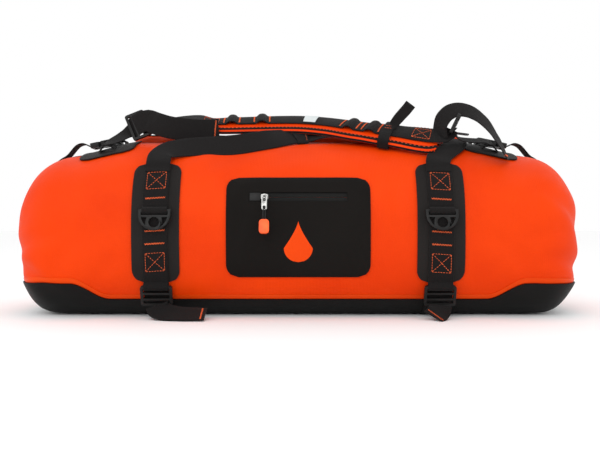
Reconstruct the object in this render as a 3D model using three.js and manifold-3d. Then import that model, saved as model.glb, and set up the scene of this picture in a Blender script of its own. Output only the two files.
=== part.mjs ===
// A long waterproof duffel-style camera bag: a welded coated-fabric tube with a black base boot, a raised
// top zip, four welded strap pads with daisy-chain webbing, two carry handles, a padded shoulder strap,
// end cinch straps and a welded front pocket.
// Millimetres, +Z up, +X along the bag, -Y is the front. Origin: centre of the flat base.
import * as THREE from "three";
import { mergeVertices } from "three/addons/utils/BufferGeometryUtils.js";
import Module from "manifold-3d";

// ---- driving dimensions ---------------------------------------------------------------------------
const BAG_LENGTH = 920; // end to end
const BAG_DEPTH = 320; // front to back
const BAG_HEIGHT = 286; // base to top, without zip ridge and straps
const END_ROUND = 90; // how far the rounding of each end reaches along the bag
const END_SQUARE_TOP = 2.25; // superellipse power of the end's profile at its top
const END_SQUARE_BASE = 2.65; // and at its base
const TOP_SQUARE = 2.25; // superellipse power of the cross-section above the waist
const BASE_SQUARE = 3.0; // and below it
const TOP_TAPER = 23; // how much lower the top is towards the ends
const TAPER_START = 256; // distance from the middle where that taper starts, outside the strap pads
const TAPER_RUN = 122;
const FABRIC = 1.6; // coated fabric wall
const GAP = 0.4; // clearance between stacked soft layers
const BASE_FOAM = 4.1; // base panel with its foam, under the bag
const BOOT_EASE = 0.2; // extra clearance between the tube and the boot
const BASE_WALL = 1.8; // base panel where it wraps up the sides
const WEB_WIDTH = 38; // main webbing
const WEB_THICK = 1.5;
const END_WEB_WIDTH = 25; // end cinch webbing
const PAD_WIDTH = 73;
const PAD_THICK = 2.0;
const PAD_X = 218; // strap pads, from the middle
const PAD_TOP_Z = 239;
const PAD_FOOT_Z = 56;
const PAD_CORNER = 20;
const RING_Z = 165; // height of the D-ring bars
const ZIP_HALF = 262; // half length of the top opening
const ZIP_SLOT = 24; // half width of the top opening
const RIDGE_TOP = BAG_HEIGHT + 12; // height of the zip's tape
const RIDGE_HALF_WIDTH = 17; // at its top
const RIDGE_FOOT = 30; // half width where it meets the tube
const RIDGE_END = 285; // half length where it meets the tube
const POCKET_WIDTH = 220;
const POCKET_TOP_Z = 216;
const POCKET_FOOT_Z = 65;
const POCKET_CORNER = 19;
const POCKET_SLOT_WIDTH = 150;
const POCKET_SLOT_HEIGHT = 13;
const POCKET_SLOT_Z = 186;
const PATCH_INNER = 266; // top patches, from the middle
const PATCH_OUTER = 356;
const PATCH_GIRTH = 104; // how far down each side they reach
const STRAP_WIDTH = 66; // padded shoulder strap
const STRAP_THICK = 11;

// ---- the bag's skin: position from length u, girth g (0 at the top, + towards the front) and height h
const HALF_LENGTH = BAG_LENGTH / 2;
const HALF_DEPTH = BAG_DEPTH / 2;
const WAIST = 142; // height of the widest line
const BASE_DROP = 150; // the lower half's semi-axis; the floor cuts it flat
const SKIN_FLOOR = BASE_FOAM + GAP + BOOT_EASE;
const GIRTH_STEPS = 24; // cross-section steps from top to base
const STRAIGHT = HALF_LENGTH - END_ROUND;

const clamp = (v, lo, hi) => Math.min(hi, Math.max(lo, v));
const lerp = (a, b, t) => a + (b - a) * t;
const ease = (t) => {
  const c = clamp(t, 0, 1);
  return c * c * (3 - 2 * c);
};
const vec = (x, y, z) => new THREE.Vector3(x, y, z);

function roundSection() {
  const dense = [];
  const samples = 720;
  for (let i = 0; i <= samples; i++) {
    const t = (Math.PI * i) / samples;
    const upper = Math.cos(t) >= 0;
    const power = 2 / (upper ? TOP_SQUARE : BASE_SQUARE);
    const rise = upper ? BAG_HEIGHT - WAIST : BASE_DROP;
    const z = WAIST + Math.sign(Math.cos(t)) * rise * Math.abs(Math.cos(t)) ** power;
    dense.push([HALF_DEPTH * Math.abs(Math.sin(t)) ** power, Math.max(z, SKIN_FLOOR)]);
  }
  const run = [0];
  for (let i = 1; i <= samples; i++)
    run.push(run[i - 1] + Math.hypot(dense[i][0] - dense[i - 1][0], dense[i][1] - dense[i - 1][1]));
  const total = run[samples];
  const nodes = [];
  let k = 1;
  for (let i = 0; i <= GIRTH_STEPS; i++) {
    const want = (total * i) / GIRTH_STEPS;
    while (k < samples && run[k] < want) k++;
    const t = (want - run[k - 1]) / Math.max(run[k] - run[k - 1], 1e-9);
    nodes.push([lerp(dense[k - 1][0], dense[k][0], t), lerp(dense[k - 1][1], dense[k][1], t)]);
  }
  return { nodes, total };
}

const SECTION = roundSection();
const HALF_GIRTH = SECTION.total;
const GIRTH_STEP = HALF_GIRTH / GIRTH_STEPS;

function sectionAt(g) {
  const wrapped = ((((g + HALF_GIRTH) % (2 * HALF_GIRTH)) + 2 * HALF_GIRTH) % (2 * HALF_GIRTH)) - HALF_GIRTH;
  const along = clamp(Math.abs(wrapped) / GIRTH_STEP, 0, GIRTH_STEPS);
  const i = Math.min(Math.floor(along), GIRTH_STEPS - 1);
  const [a, b] = [SECTION.nodes[i], SECTION.nodes[i + 1]];
  return [-Math.sign(wrapped) * lerp(a[0], b[0], along - i), lerp(a[1], b[1], along - i)];
}

// The girth of the front line at height z.
function girthAt(z) {
  for (let i = 0; i < GIRTH_STEPS; i++) {
    const [hi, lo] = [SECTION.nodes[i][1], SECTION.nodes[i + 1][1]];
    if (z <= hi && z > lo) return GIRTH_STEP * (i + (hi - z) / (hi - lo));
  }
  return HALF_GIRTH;
}

function skinPoint(u, g) {
  const [y, z] = sectionAt(g);
  const low = clamp((BAG_HEIGHT - z) / BAG_HEIGHT, 0, 1);
  const power = 2 / lerp(END_SQUARE_TOP, END_SQUARE_BASE, low);
  const past = Math.max(Math.abs(u) - STRAIGHT, 0);
  const turn = Math.PI / 2 - Math.min(past / END_ROUND, Math.PI / 2);
  const x = past > 0 ? Math.sign(u) * (STRAIGHT + END_ROUND * Math.cos(turn) ** power) : u;
  const k = past > 0 ? Math.max(Math.sin(turn), 0) ** power : 1;
  const drop = TOP_TAPER * ease((Math.abs(x) - TAPER_START) / TAPER_RUN);
  const rise = z > WAIST ? (z - WAIST) * (1 - drop / (BAG_HEIGHT - WAIST)) : z - WAIST;
  return vec(x, y * k, WAIST + rise * k);
}

function skinNormal(u, g) {
  const du = 6;
  const along = skinPoint(u + du, g).sub(skinPoint(u - du, g));
  const down = skinPoint(u, g + GIRTH_STEP).sub(skinPoint(u, g - GIRTH_STEP));
  return down.cross(along).normalize();
}

const skin = (u, g, h) => skinPoint(u, g).addScaledVector(skinNormal(u, g), h);

// ---- solid makers -------------------------------------------------------------------------------------
function closedMesh(points, quads) {
  const position = [];
  for (const [a, b, c, d] of quads) for (const p of [a, b, c, a, c, d]) position.push(...points[p].toArray());
  const g = new THREE.BufferGeometry();
  g.setAttribute("position", new THREE.Float32BufferAttribute(position, 3));
  return g;
}

// A sheet of cells between an inner and an outer surface. at(i, j, side) gives the point, side 0 inner and
// 1 outer. keep(i, j) leaves a cell out. loop closes the sheet in j.
function sheet(ni, nj, at, keep = () => true, loop = false) {
  const points = [];
  const id = (i, j, side) => (i * (nj + 1) + (loop ? j % nj : j)) * 2 + side;
  for (let i = 0; i <= ni; i++) for (let j = 0; j <= nj; j++) points.push(at(i, j, 0), at(i, j, 1));
  const quads = [];
  const has = (i, j) => {
    if (i < 0 || i >= ni) return false;
    if (loop) return keep(i, (j + nj) % nj);
    return j >= 0 && j < nj && keep(i, j);
  };
  for (let i = 0; i < ni; i++)
    for (let j = 0; j < nj; j++) {
      if (!has(i, j)) continue;
      quads.push([id(i, j, 1), id(i + 1, j, 1), id(i + 1, j + 1, 1), id(i, j + 1, 1)]);
      quads.push([id(i, j, 0), id(i, j + 1, 0), id(i + 1, j + 1, 0), id(i + 1, j, 0)]);
      if (!has(i - 1, j)) quads.push([id(i, j, 0), id(i, j, 1), id(i, j + 1, 1), id(i, j + 1, 0)]);
      if (!has(i + 1, j)) quads.push([id(i + 1, j, 0), id(i + 1, j + 1, 0), id(i + 1, j + 1, 1), id(i + 1, j, 1)]);
      if (!has(i, j - 1)) quads.push([id(i, j, 0), id(i + 1, j, 0), id(i + 1, j, 1), id(i, j, 1)]);
      if (!has(i, j + 1)) quads.push([id(i, j + 1, 0), id(i, j + 1, 1), id(i + 1, j + 1, 1), id(i + 1, j + 1, 0)]);
    }
  return outward(closedMesh(points, quads));
}

// Turns a closed geometry's faces round where they point inwards.
function outward(geometry) {
  const p = geometry.getAttribute("position");
  let volume = 0;
  const [a, b, c] = [vec(), vec(), vec()];
  for (let i = 0; i < p.count; i += 3) {
    a.fromBufferAttribute(p, i);
    b.fromBufferAttribute(p, i + 1);
    c.fromBufferAttribute(p, i + 2);
    volume += a.dot(b.cross(c));
  }
  if (volume < 0)
    for (let i = 0; i < p.count; i += 3) {
      b.fromBufferAttribute(p, i + 1);
      c.fromBufferAttribute(p, i + 2);
      p.setXYZ(i + 1, c.x, c.y, c.z);
      p.setXYZ(i + 2, b.x, b.y, b.z);
    }
  return geometry;
}

// The girth stations between two girths: both ends and every section node between them.
function girths(from, to, extra = []) {
  const list = [from, to, ...extra];
  for (let i = Math.ceil(from / GIRTH_STEP); i * GIRTH_STEP < to; i++) list.push(i * GIRTH_STEP);
  list.sort((a, b) => a - b);
  return list.filter((g, i) => i === 0 || g - list[i - 1] > 0.5);
}

// A rounded rectangle laid on the skin.
function patch(x, halfWidth, from, to, corner, inner, outer) {
  const turns = [0.02, 0.12, 0.3, 0.55, 1].map((t) => corner * t);
  const rows = girths(from, to, [...turns.map((t) => from + t), ...turns.map((t) => to - t)]);
  const half = (g) => {
    const into = Math.min(g - from, to - g);
    if (into >= corner) return halfWidth;
    return halfWidth - corner + Math.sqrt(Math.max(corner ** 2 - (corner - into) ** 2, 0));
  };
  const at = (i, j, side) => skin(x + half(rows[j]) * (2 * i - 1), rows[j], side ? outer : inner);
  return sheet(1, rows.length - 1, at);
}

// A strap through points, facing the given way at each, as a curved ribbon.
function ribbon(points, faces, width, thick, steps) {
  const line = new THREE.CatmullRomCurve3(points.map((p) => vec(...p)), false, "centripetal");
  const facing = new THREE.CatmullRomCurve3(faces.map((p) => vec(...p)), false, "centripetal");
  const stations = [];
  for (let i = 0; i <= steps; i++) {
    const t = i / steps;
    const tangent = line.getTangent(t);
    const across = facing.getPoint(t).cross(tangent).normalize();
    const normal = tangent.clone().cross(across).normalize();
    stations.push({ p: line.getPoint(t), across, normal });
  }
  const at = (i, j, side) => {
    const s = stations[i];
    return s.p.clone().addScaledVector(s.across, (j - 0.5) * width).addScaledVector(s.normal, (side - 0.5) * thick);
  };
  return sheet(steps, 1, at);
}

// A flat plate with its outline in x and y, centred on z = 0.
function plate(shape, thick, curveSegments = 5) {
  const g = new THREE.ExtrudeGeometry(shape, { depth: thick, bevelEnabled: false, curveSegments });
  g.translate(0, 0, -thick / 2);
  return g;
}

function roundedRectangle(width, height, radius, Kind = THREE.Shape, x = 0, y = 0) {
  const s = new Kind();
  const [w, h] = [width / 2, height / 2];
  s.moveTo(x - w + radius, y - h);
  s.lineTo(x + w - radius, y - h);
  s.absarc(x + w - radius, y - h + radius, radius, -Math.PI / 2, 0);
  s.lineTo(x + w, y + h - radius);
  s.absarc(x + w - radius, y + h - radius, radius, 0, Math.PI / 2);
  s.lineTo(x - w + radius, y + h);
  s.absarc(x - w + radius, y + h - radius, radius, Math.PI / 2, Math.PI);
  s.lineTo(x - w, y - h + radius);
  s.absarc(x - w + radius, y - h + radius, radius, Math.PI, Math.PI * 1.5);
  return s;
}

const wasm = await Module();
wasm.setup();

function toSolid(geometry) {
  const g = (geometry.index ? geometry.toNonIndexed() : geometry).clone();
  g.deleteAttribute("normal");
  g.deleteAttribute("uv");
  const m = mergeVertices(g, 1e-4);
  const triVerts = new Uint32Array(m.index.array);
  return new wasm.Manifold(new wasm.Mesh({ numProp: 3, vertProperties: m.attributes.position.array, triVerts }));
}

function fromSolid(solid) {
  const m = solid.getMesh();
  const g = new THREE.BufferGeometry();
  g.setAttribute("position", new THREE.Float32BufferAttribute(new Float32Array(m.vertProperties), 3));
  g.setIndex(new THREE.BufferAttribute(new Uint32Array(m.triVerts), 1));
  return g;
}

const box = (w, d, h, x = 0, y = 0, z = 0) => new THREE.BoxGeometry(w, d, h).translate(x, y, z);
const join = (...list) => fromSolid(list.map(toSolid).reduce((a, b) => a.add(b)));
const cut = (body, ...tools) => fromSolid(tools.map(toSolid).reduce((a, b) => a.subtract(b), toSolid(body)));

// ---- materials ----------------------------------------------------------------------------------------
const material = (color, roughness, metalness = 0) => new THREE.MeshStandardMaterial({ color, roughness, metalness });
const orangeFabric = material(0xf0430a, 0.45);
const blackFabric = material(0x1d1d1f, 0.6);
const webbing = material(0x141416, 0.8);
const blackPlastic = material(0x232425, 0.5);
const metal = material(0xb8b8b8, 0.25, 1);
const orangeRubber = material(0xe8511c, 0.4);
const board = material(0x2c2c30, 0.7);

const bag = new THREE.Group();
function add(name, geometry, mat, parent = bag) {
  const mesh = new THREE.Mesh(geometry, mat);
  mesh.name = name;
  parent.add(mesh);
  return mesh;
}

// Puts a group on the skin: x across, y up the skin, z out of it.
function onSkin(u, g, h, tilt = 0) {
  const place = new THREE.Group();
  const out = skinNormal(u, g);
  const across = vec(1, 0, 0).addScaledVector(out, -out.x).normalize();
  const up = out.clone().cross(across);
  const basis = new THREE.Matrix4().makeBasis(across, up, out);
  place.quaternion.setFromRotationMatrix(basis);
  place.rotateX(tilt);
  place.position.copy(skin(u, g, h));
  bag.add(place);
  return place;
}

const sides = { left: -1, right: 1 };
const faces = { front: 1, back: -1 };

// ---- tube, end panels, base boot and base board ----------------------------------------------------------
const aroundTube = girths(-HALF_GIRTH, HALF_GIRTH, [-ZIP_SLOT, ZIP_SLOT]);
const TUBE_END = STRAIGHT - 2;
const PANEL_GAP = 0.5; // between the tube and each end panel
const SHOULDER_RUN = [295, 325, 342, PATCH_OUTER + 3, TUBE_END]; // stations where the top tapers
const END_FINISH = STRAIGHT + END_ROUND * (Math.PI / 2);
const END_RUN = [0, 0.22, 0.42, 0.6, 0.76, 0.92].map((t) => lerp(TUBE_END + PANEL_GAP, END_FINISH, t));
const both = (half) => [...half.filter((u) => u > 0).reverse().map((u) => -u), ...half];
const tubeStations = both([0, ZIP_HALF, ...SHOULDER_RUN]);
const inSlot = (i, j) =>
  tubeStations[i] >= -ZIP_HALF && tubeStations[i + 1] <= ZIP_HALF && aroundTube[j] >= -ZIP_SLOT && aroundTube[j + 1] <= ZIP_SLOT;
add(
  "body_tube",
  sheet(
    tubeStations.length - 1,
    aroundTube.length - 1,
    (i, j, side) => skin(tubeStations[i], aroundTube[j], side ? 0 : -FABRIC),
    (i, j) => !inSlot(i, j),
    true,
  ),
  orangeFabric,
);

// Each end panel is a cup: the skin from the tube's end to a small closing disc at the end's middle.
function endPanel(sign) {
  const rings = END_RUN;
  const around = girths(-HALF_GIRTH, HALF_GIRTH);
  const count = around.length - 1;
  const points = [];
  const quads = [];
  for (const side of [0, 1])
    for (const u of rings)
      for (let j = 0; j < count; j++) points.push(skin(sign * u, around[j], side ? 0 : -FABRIC));
  const id = (side, r, j) => (side * rings.length + r) * count + (j % count);
  const last = rings.length - 1;
  for (let j = 0; j < count; j++) {
    for (let r = 0; r < last; r++) {
      quads.push([id(1, r, j), id(1, r + 1, j), id(1, r + 1, j + 1), id(1, r, j + 1)]);
      quads.push([id(0, r, j), id(0, r, j + 1), id(0, r + 1, j + 1), id(0, r + 1, j)]);
    }
    quads.push([id(0, 0, j), id(1, 0, j), id(1, 0, j + 1), id(0, 0, j + 1)]);
  }
  const outer = points.push(vec(sign * HALF_LENGTH, 0, WAIST)) - 1;
  const inner = points.push(vec(sign * (HALF_LENGTH - FABRIC), 0, WAIST)) - 1;
  for (let j = 0; j < count; j++) {
    quads.push([id(1, last, j), outer, outer, id(1, last, j + 1)]);
    quads.push([id(0, last, j), id(0, last, j + 1), inner, inner]);
  }
  return outward(dropSlivers(closedMesh(points, quads)));
}

// Takes out the empty triangles that a quad with two equal corners leaves.
function dropSlivers(geometry) {
  const p = geometry.getAttribute("position");
  const kept = [];
  for (let i = 0; i < p.count; i += 3) {
    const t = [0, 1, 2].map((k) => vec().fromBufferAttribute(p, i + k));
    if (t[0].equals(t[1]) || t[1].equals(t[2]) || t[0].equals(t[2])) continue;
    for (const v of t) kept.push(...v.toArray());
  }
  const g = new THREE.BufferGeometry();
  g.setAttribute("position", new THREE.Float32BufferAttribute(kept, 3));
  return g;
}
for (const [side, sign] of Object.entries(sides)) add("end_panel_" + side, endPanel(sign), orangeFabric);

// The boot wraps up the sides. Its upper edge is low in the middle and steps up towards the ends.
const BOOT_MID_Z = 29;
const BOOT_END_Z = 54;
const BOOT_STEP_START = 294;
const BOOT_STEP_END = 352;
const STRAP_CHANNEL = WEB_WIDTH / 2 + 1.5; // half width of the channel in the foam for a base strap
const channelEdges = [PAD_X - STRAP_CHANNEL - 1, PAD_X - STRAP_CHANNEL, PAD_X + STRAP_CHANNEL, PAD_X + STRAP_CHANNEL + 1];
const bootU = both([0, ...channelEdges, TUBE_END, ...END_RUN.slice(0, 5)]);
const bootTop = GIRTH_STEP * Math.floor(girthAt(BOOT_END_Z) / GIRTH_STEP - 0.5);
const bootG = girths(bootTop, 2 * HALF_GIRTH - bootTop);
const flatStart = girthAt(SKIN_FLOOR + 6);
function bootPoint(i, j, side) {
  const inChannel = Math.abs(Math.abs(bootU[i]) - PAD_X) <= STRAP_CHANNEL + 0.01;
  const flat = Math.abs(bootG[j] - HALF_GIRTH) < HALF_GIRTH - flatStart + GIRTH_STEP / 2;
  const thick = flat && !inChannel && Math.abs(bootU[i]) <= TUBE_END ? BASE_FOAM : BASE_WALL;
  return skin(bootU[i], bootG[j], side ? GAP + BOOT_EASE + thick : GAP + BOOT_EASE);
}
function aboveBoot() {
  const s = new THREE.Shape();
  const edge = [];
  for (let i = 0; i <= 8; i++) {
    const t = i / 8;
    edge.push([lerp(BOOT_STEP_START, BOOT_STEP_END, t), lerp(BOOT_MID_Z, BOOT_END_Z, ease(t))]);
  }
  edge.push([BAG_LENGTH, BOOT_END_Z]);
  s.moveTo(-BAG_LENGTH, BAG_HEIGHT);
  for (const [x, z] of [...edge].reverse()) s.lineTo(-x, z);
  for (const [x, z] of edge) s.lineTo(x, z);
  s.lineTo(BAG_LENGTH, BAG_HEIGHT);
  const g = new THREE.ExtrudeGeometry(s, { depth: 2 * BAG_DEPTH, bevelEnabled: false });
  return g.translate(0, 0, -BAG_DEPTH).rotateX(Math.PI / 2);
}
add("base_panel", cut(sheet(bootU.length - 1, bootG.length - 1, bootPoint), aboveBoot()), blackFabric);

const BOARD_THICK = 2;
add(
  "base_board",
  plate(roundedRectangle(2 * STRAIGHT - 40, 130, 25), BOARD_THICK).translate(0, 0, SKIN_FLOOR + FABRIC + GAP + BOARD_THICK / 2),
  board,
);

// ---- raised top zip ----------------------------------------------------------------------------------------
// The gusset is a ring: its foot follows the tube round the opening and its top carries the zip tapes.
function ridgeRing() {
  const stations = [];
  const corner = 14;
  const plan = [];
  const lengths = [-250, -150, 0, 150, 250];
  for (const u of lengths) plan.push([u, 1]);
  for (const a of [0, 30, 60, 90]) plan.push(["corner", a, 1, 1]);
  for (const a of [90, 60, 30, 0]) plan.push(["corner", a, 1, -1]);
  for (const u of [...lengths].reverse()) plan.push([u, -1]);
  for (const a of [0, 30, 60, 90]) plan.push(["corner", a, -1, -1]);
  for (const a of [90, 60, 30, 0]) plan.push(["corner", a, -1, 1]);
  const spot = (entry, halfLength, halfWidth) => {
    if (entry[0] !== "corner") return [entry[0], entry[1] * halfWidth];
    const a = (entry[1] * Math.PI) / 180;
    return [entry[2] * (halfLength - corner + corner * Math.sin(a)), entry[3] * (halfWidth - corner + corner * Math.cos(a))];
  };
  for (const entry of plan) {
    const [fu, fg] = spot(entry, RIDGE_END, RIDGE_FOOT);
    const [iu, ig] = spot(entry, RIDGE_END - 2.5, RIDGE_FOOT - 2.5);
    const [tu, tg] = spot(entry, RIDGE_END - 7, RIDGE_HALF_WIDTH);
    const [ju, jg] = spot(entry, RIDGE_END - 9, RIDGE_HALF_WIDTH - 2);
    stations.push([skin(fu, fg, GAP + 0.2), skin(iu, ig, GAP + 0.2), vec(ju, -jg, RIDGE_TOP - 0.8), vec(tu, -tg, RIDGE_TOP - 0.8)]);
  }
  const n = stations.length;
  return sheetLoop(stations, n);
}

// A closed loop of four-cornered sections.
function sheetLoop(stations, n) {
  const points = stations.flat();
  const quads = [];
  for (let i = 0; i < n; i++)
    for (let k = 0; k < 4; k++) {
      const [a, b] = [i * 4 + k, i * 4 + ((k + 1) % 4)];
      const next = (((i + 1) % n) - i) * 4;
      quads.push([a, b, b + next, a + next]);
    }
  return outward(closedMesh(points, quads));
}
add("zip_gusset", ridgeRing(), orangeFabric);

const TAPE_THICK = 1.2;
const CHAIN_GAP = 1.0; // half the space between the two chains
const CHAIN_HALF = 2.4;
for (const [face, sign] of Object.entries(faces)) {
  const s = new THREE.Shape();
  const low = RIDGE_TOP - 0.4;
  s.moveTo(CHAIN_GAP, low - 0.6);
  s.lineTo(CHAIN_GAP + CHAIN_HALF, low - 0.6);
  s.lineTo(CHAIN_GAP + CHAIN_HALF, low);
  s.lineTo(RIDGE_HALF_WIDTH - 0.5, low);
  s.lineTo(RIDGE_HALF_WIDTH - 0.5, low + TAPE_THICK);
  s.lineTo(CHAIN_GAP + CHAIN_HALF, low + TAPE_THICK);
  s.lineTo(CHAIN_GAP + CHAIN_HALF, low + TAPE_THICK + 0.6);
  s.lineTo(CHAIN_GAP, low + TAPE_THICK + 0.6);
  const length = 2 * (RIDGE_END - 10);
  const g = new THREE.ExtrudeGeometry(s, { depth: length, bevelEnabled: false });
  g.translate(0, 0, -length / 2);
  const turned = g.applyMatrix4(new THREE.Matrix4().makeBasis(vec(0, -sign, 0), vec(0, 0, 1), vec(-sign, 0, 0)));
  add("main_zip_tape_" + face, turned, blackFabric);
}

// Slider: two plates and a post between the chains, with a crown for the pull's pin.
const SLIDER_X = 263;
const SLIDER_LONG = 20;
const SLIDER_WIDE = 13;
const sliderTop = RIDGE_TOP + TAPE_THICK + 0.6;
const CROWN_HOLE = 1.7;
const PULL_PIN = 1.1;
const CROWN_X = 2; // the crown's hole from the slider's middle
const pinZ = sliderTop + 6;
function zipSlider() {
  const upper = plate(roundedRectangle(SLIDER_LONG, SLIDER_WIDE, 4), 2.2).translate(0, 0, sliderTop + 1.4);
  const lower = plate(roundedRectangle(SLIDER_LONG, SLIDER_WIDE - 2, 4), 2.0).translate(0, 0, RIDGE_TOP - 2.4);
  const post = box(5, 1.2, 8, SLIDER_LONG / 2 - 5, 0, RIDGE_TOP + 0.4);
  const crown = box(9, 3.4, 7, CROWN_X, 0, sliderTop + 5.5);
  const hole = new THREE.CylinderGeometry(CROWN_HOLE, CROWN_HOLE, 8, 10).translate(CROWN_X, 0, pinZ);
  return cut(join(upper, lower, post, crown), hole);
}
add("main_zip_slider", zipSlider().translate(SLIDER_X, 0, 0), metal);

// Pull: a pin through the crown, two side arms and a flat webbing-covered loop.
const MAIN_PULL_TILT = 0.13; // it lies down along the chain
function zipPull(length, width) {
  const s = roundedRectangle(length, width, 3.5, THREE.Shape, length / 2 - 1.6);
  s.holes.push(roundedRectangle(8, width - 5, 1.5, THREE.Path, 4.4));
  s.holes.push(roundedRectangle(length - 19, width - 8, 1.5, THREE.Path, length / 2 + 4));
  const frame = cut(plate(s, 2.2), box(3.4, width - 5, 4, 0, 0, 0));
  const pin = new THREE.CylinderGeometry(PULL_PIN, PULL_PIN, width - 3, 8);
  return join(frame, pin);
}
const mainPull = new THREE.Group();
mainPull.position.set(SLIDER_X + CROWN_X, 0, pinZ);
mainPull.rotation.y = MAIN_PULL_TILT;
bag.add(mainPull);
add("main_zip_pull", zipPull(34, 14), blackPlastic, mainPull);

// ---- top patches, end cinch straps and their side-release buckles -------------------------------------------
const RIDGE_CLEAR = 4; // space between the ridge's foot and a patch
for (const [side, sign] of Object.entries(sides)) {
  const us = [PATCH_INNER, PATCH_INNER + 2, PATCH_INNER + 8, RIDGE_END + RIDGE_CLEAR, 295, 325, 342, PATCH_OUTER - 2, PATCH_OUTER];
  const gs = girths(-PATCH_GIRTH, PATCH_GIRTH, [-RIDGE_FOOT - RIDGE_CLEAR, RIDGE_FOOT + RIDGE_CLEAR, 0]);
  const round = (u) => {
    const into = Math.min(u - PATCH_INNER, PATCH_OUTER - u);
    const r = 18;
    return into >= r ? 0 : r - Math.sqrt(Math.max(r * r - (r - into) ** 2, 0));
  };
  const at = (i, j, s) => {
    const g = gs[j];
    const pull = Math.abs(g) > PATCH_GIRTH - 22 ? 1 - round(us[i]) * ((Math.abs(g) - PATCH_GIRTH + 22) / 22) / Math.abs(g) : 1;
    return skin(sign * us[i], g * pull, s ? 2 * GAP + PAD_THICK : 2 * GAP);
  };
  const notch = (i, j) => us[i + 1] <= RIDGE_END + RIDGE_CLEAR && Math.abs(gs[j] + gs[j + 1]) / 2 < RIDGE_FOOT + RIDGE_CLEAR;
  add("top_patch_" + side, sheet(us.length - 1, gs.length - 1, at, (i, j) => !notch(i, j)), blackFabric);
}

// Buckle frame: x runs outwards along the strap, z out of the bag.
const SOCKET_LONG = 34;
const BUCKLE_WIDE = 34;
const BUCKLE_THICK = 9;
const BUCKLE_X = 322; // middle of the socket
const BUCKLE_RISE = 15; // its height above the skin
const PRONG_LONG = 24;
const PLUG_LONG = 17;
const PRONG_REACH = 12.5; // half width over the prongs' heads, pressed in as they are on release
const BUCKLE_FIT = 0.5; // running clearance round the prongs
const BUCKLE_SLOPE = 0.2; // the strap runs down towards the end
function buckleSocket() {
  const body = plate(roundedRectangle(SOCKET_LONG, BUCKLE_WIDE, 5), BUCKLE_THICK);
  const mouth = box(PRONG_LONG + 4, 2 * (PRONG_REACH + BUCKLE_FIT), 4 + 2 * BUCKLE_FIT, SOCKET_LONG / 2 - PRONG_LONG / 2, 0, 0);
  const window = box(11, BUCKLE_WIDE + 2, 4 + 2 * BUCKLE_FIT, 3, 0, 0);
  const slot = box(3.5, END_WEB_WIDTH + 1.5, BUCKLE_THICK + 2, -SOCKET_LONG / 2 + 4, 0, 0);
  return cut(body, mouth, window, slot);
}
function bucklePlug() {
  const base = plate(roundedRectangle(PLUG_LONG, BUCKLE_WIDE, 4), BUCKLE_THICK - 1).translate(PLUG_LONG / 2, 0, 0);
  const slot = box(4, END_WEB_WIDTH + 1.5, BUCKLE_THICK + 2, PLUG_LONG - 5.5, 0, 0);
  const middle = box(PRONG_LONG, 5, 3.6, -PRONG_LONG / 2 + 0.5, 0, 0);
  const prong = (sign) => {
    const arm = box(PRONG_LONG, 3.2, 3.6, -PRONG_LONG / 2 + 0.5, sign * (PRONG_REACH - 2.4), 0);
    return join(arm, box(8, 4, 3.6, -PRONG_LONG + 8, sign * (PRONG_REACH - 2), 0));
  };
  return cut(join(base, middle, prong(-1), prong(1)), slot);
}
const buckles = {};
for (const [side, sign] of Object.entries(sides)) {
  const place = new THREE.Group();
  place.position.copy(skin(sign * BUCKLE_X, 0, BUCKLE_RISE));
  place.rotation.set(0, sign > 0 ? BUCKLE_SLOPE : Math.PI - BUCKLE_SLOPE, 0);
  bag.add(place);
  buckles[side] = place;
  add("end_buckle_socket_" + side, buckleSocket(), blackPlastic, place);
  const plug = add("end_buckle_plug_" + side, bucklePlug(), blackPlastic, place);
  plug.position.x = SOCKET_LONG / 2 + 0.6;
}

// The cinch strap's sewn part lies on the bag's end; its slack part humps up to the plug's bar.
const PLUG_BAR = SOCKET_LONG / 2 + PLUG_LONG + 2.6; // just outside the plug, from the socket's middle
for (const [side, sign] of Object.entries(sides)) {
  const us = [PATCH_OUTER + 3, TUBE_END, ...END_RUN.slice(0, 4)];
  add(
    "end_strap_" + side,
    sheet(us.length - 1, 2, (i, j, s) => skin(sign * us[i], (j - 1) * (END_WEB_WIDTH / 2), 2 * GAP + s * WEB_THICK)),
    webbing,
  );
  const bar = vec(PLUG_BAR, 0, 0).applyEuler(buckles[side].rotation).add(buckles[side].position);
  const foot = skin(sign * (STRAIGHT + 34), 0, 5);
  const points = [
    [bar.x, 0, bar.z],
    [bar.x + sign * 11, 0, bar.z + 6],
    [bar.x + sign * 23, 0, bar.z + 3],
    [lerp(bar.x, foot.x, 0.75), 0, foot.z + 8],
    [foot.x, 0, foot.z],
  ];
  const up = points.map(() => [0, 0, 1]);
  add("end_strap_slack_" + side, ribbon(points, up, END_WEB_WIDTH, WEB_THICK, 12), webbing);
}

// ---- strap pads, daisy webbing, D-rings, ladder locks and base straps -----------------------------------------
const padTop = girthAt(PAD_TOP_Z);
const padFoot = girthAt(PAD_FOOT_Z);
const webFloor = GAP + PAD_THICK + GAP; // under side of the daisy webbing
const ringGirth = girthAt(RING_Z);
const RING_BAR = 3.6;
const RING_TUNNEL = 3.3; // radius inside the webbing loop
const ringHeight = webFloor + WEB_THICK + RING_TUNNEL;
const LOCK_HEIGHT = 33;
const LOCK_WIDTH = 49;
const LOCK_THICK = 5;
const lockGirth = padFoot + 4; // the lock's upper bar
const LOCK_TUNNEL = 3.9;
const lockRise = webFloor + WEB_THICK + LOCK_TUNNEL;

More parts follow.
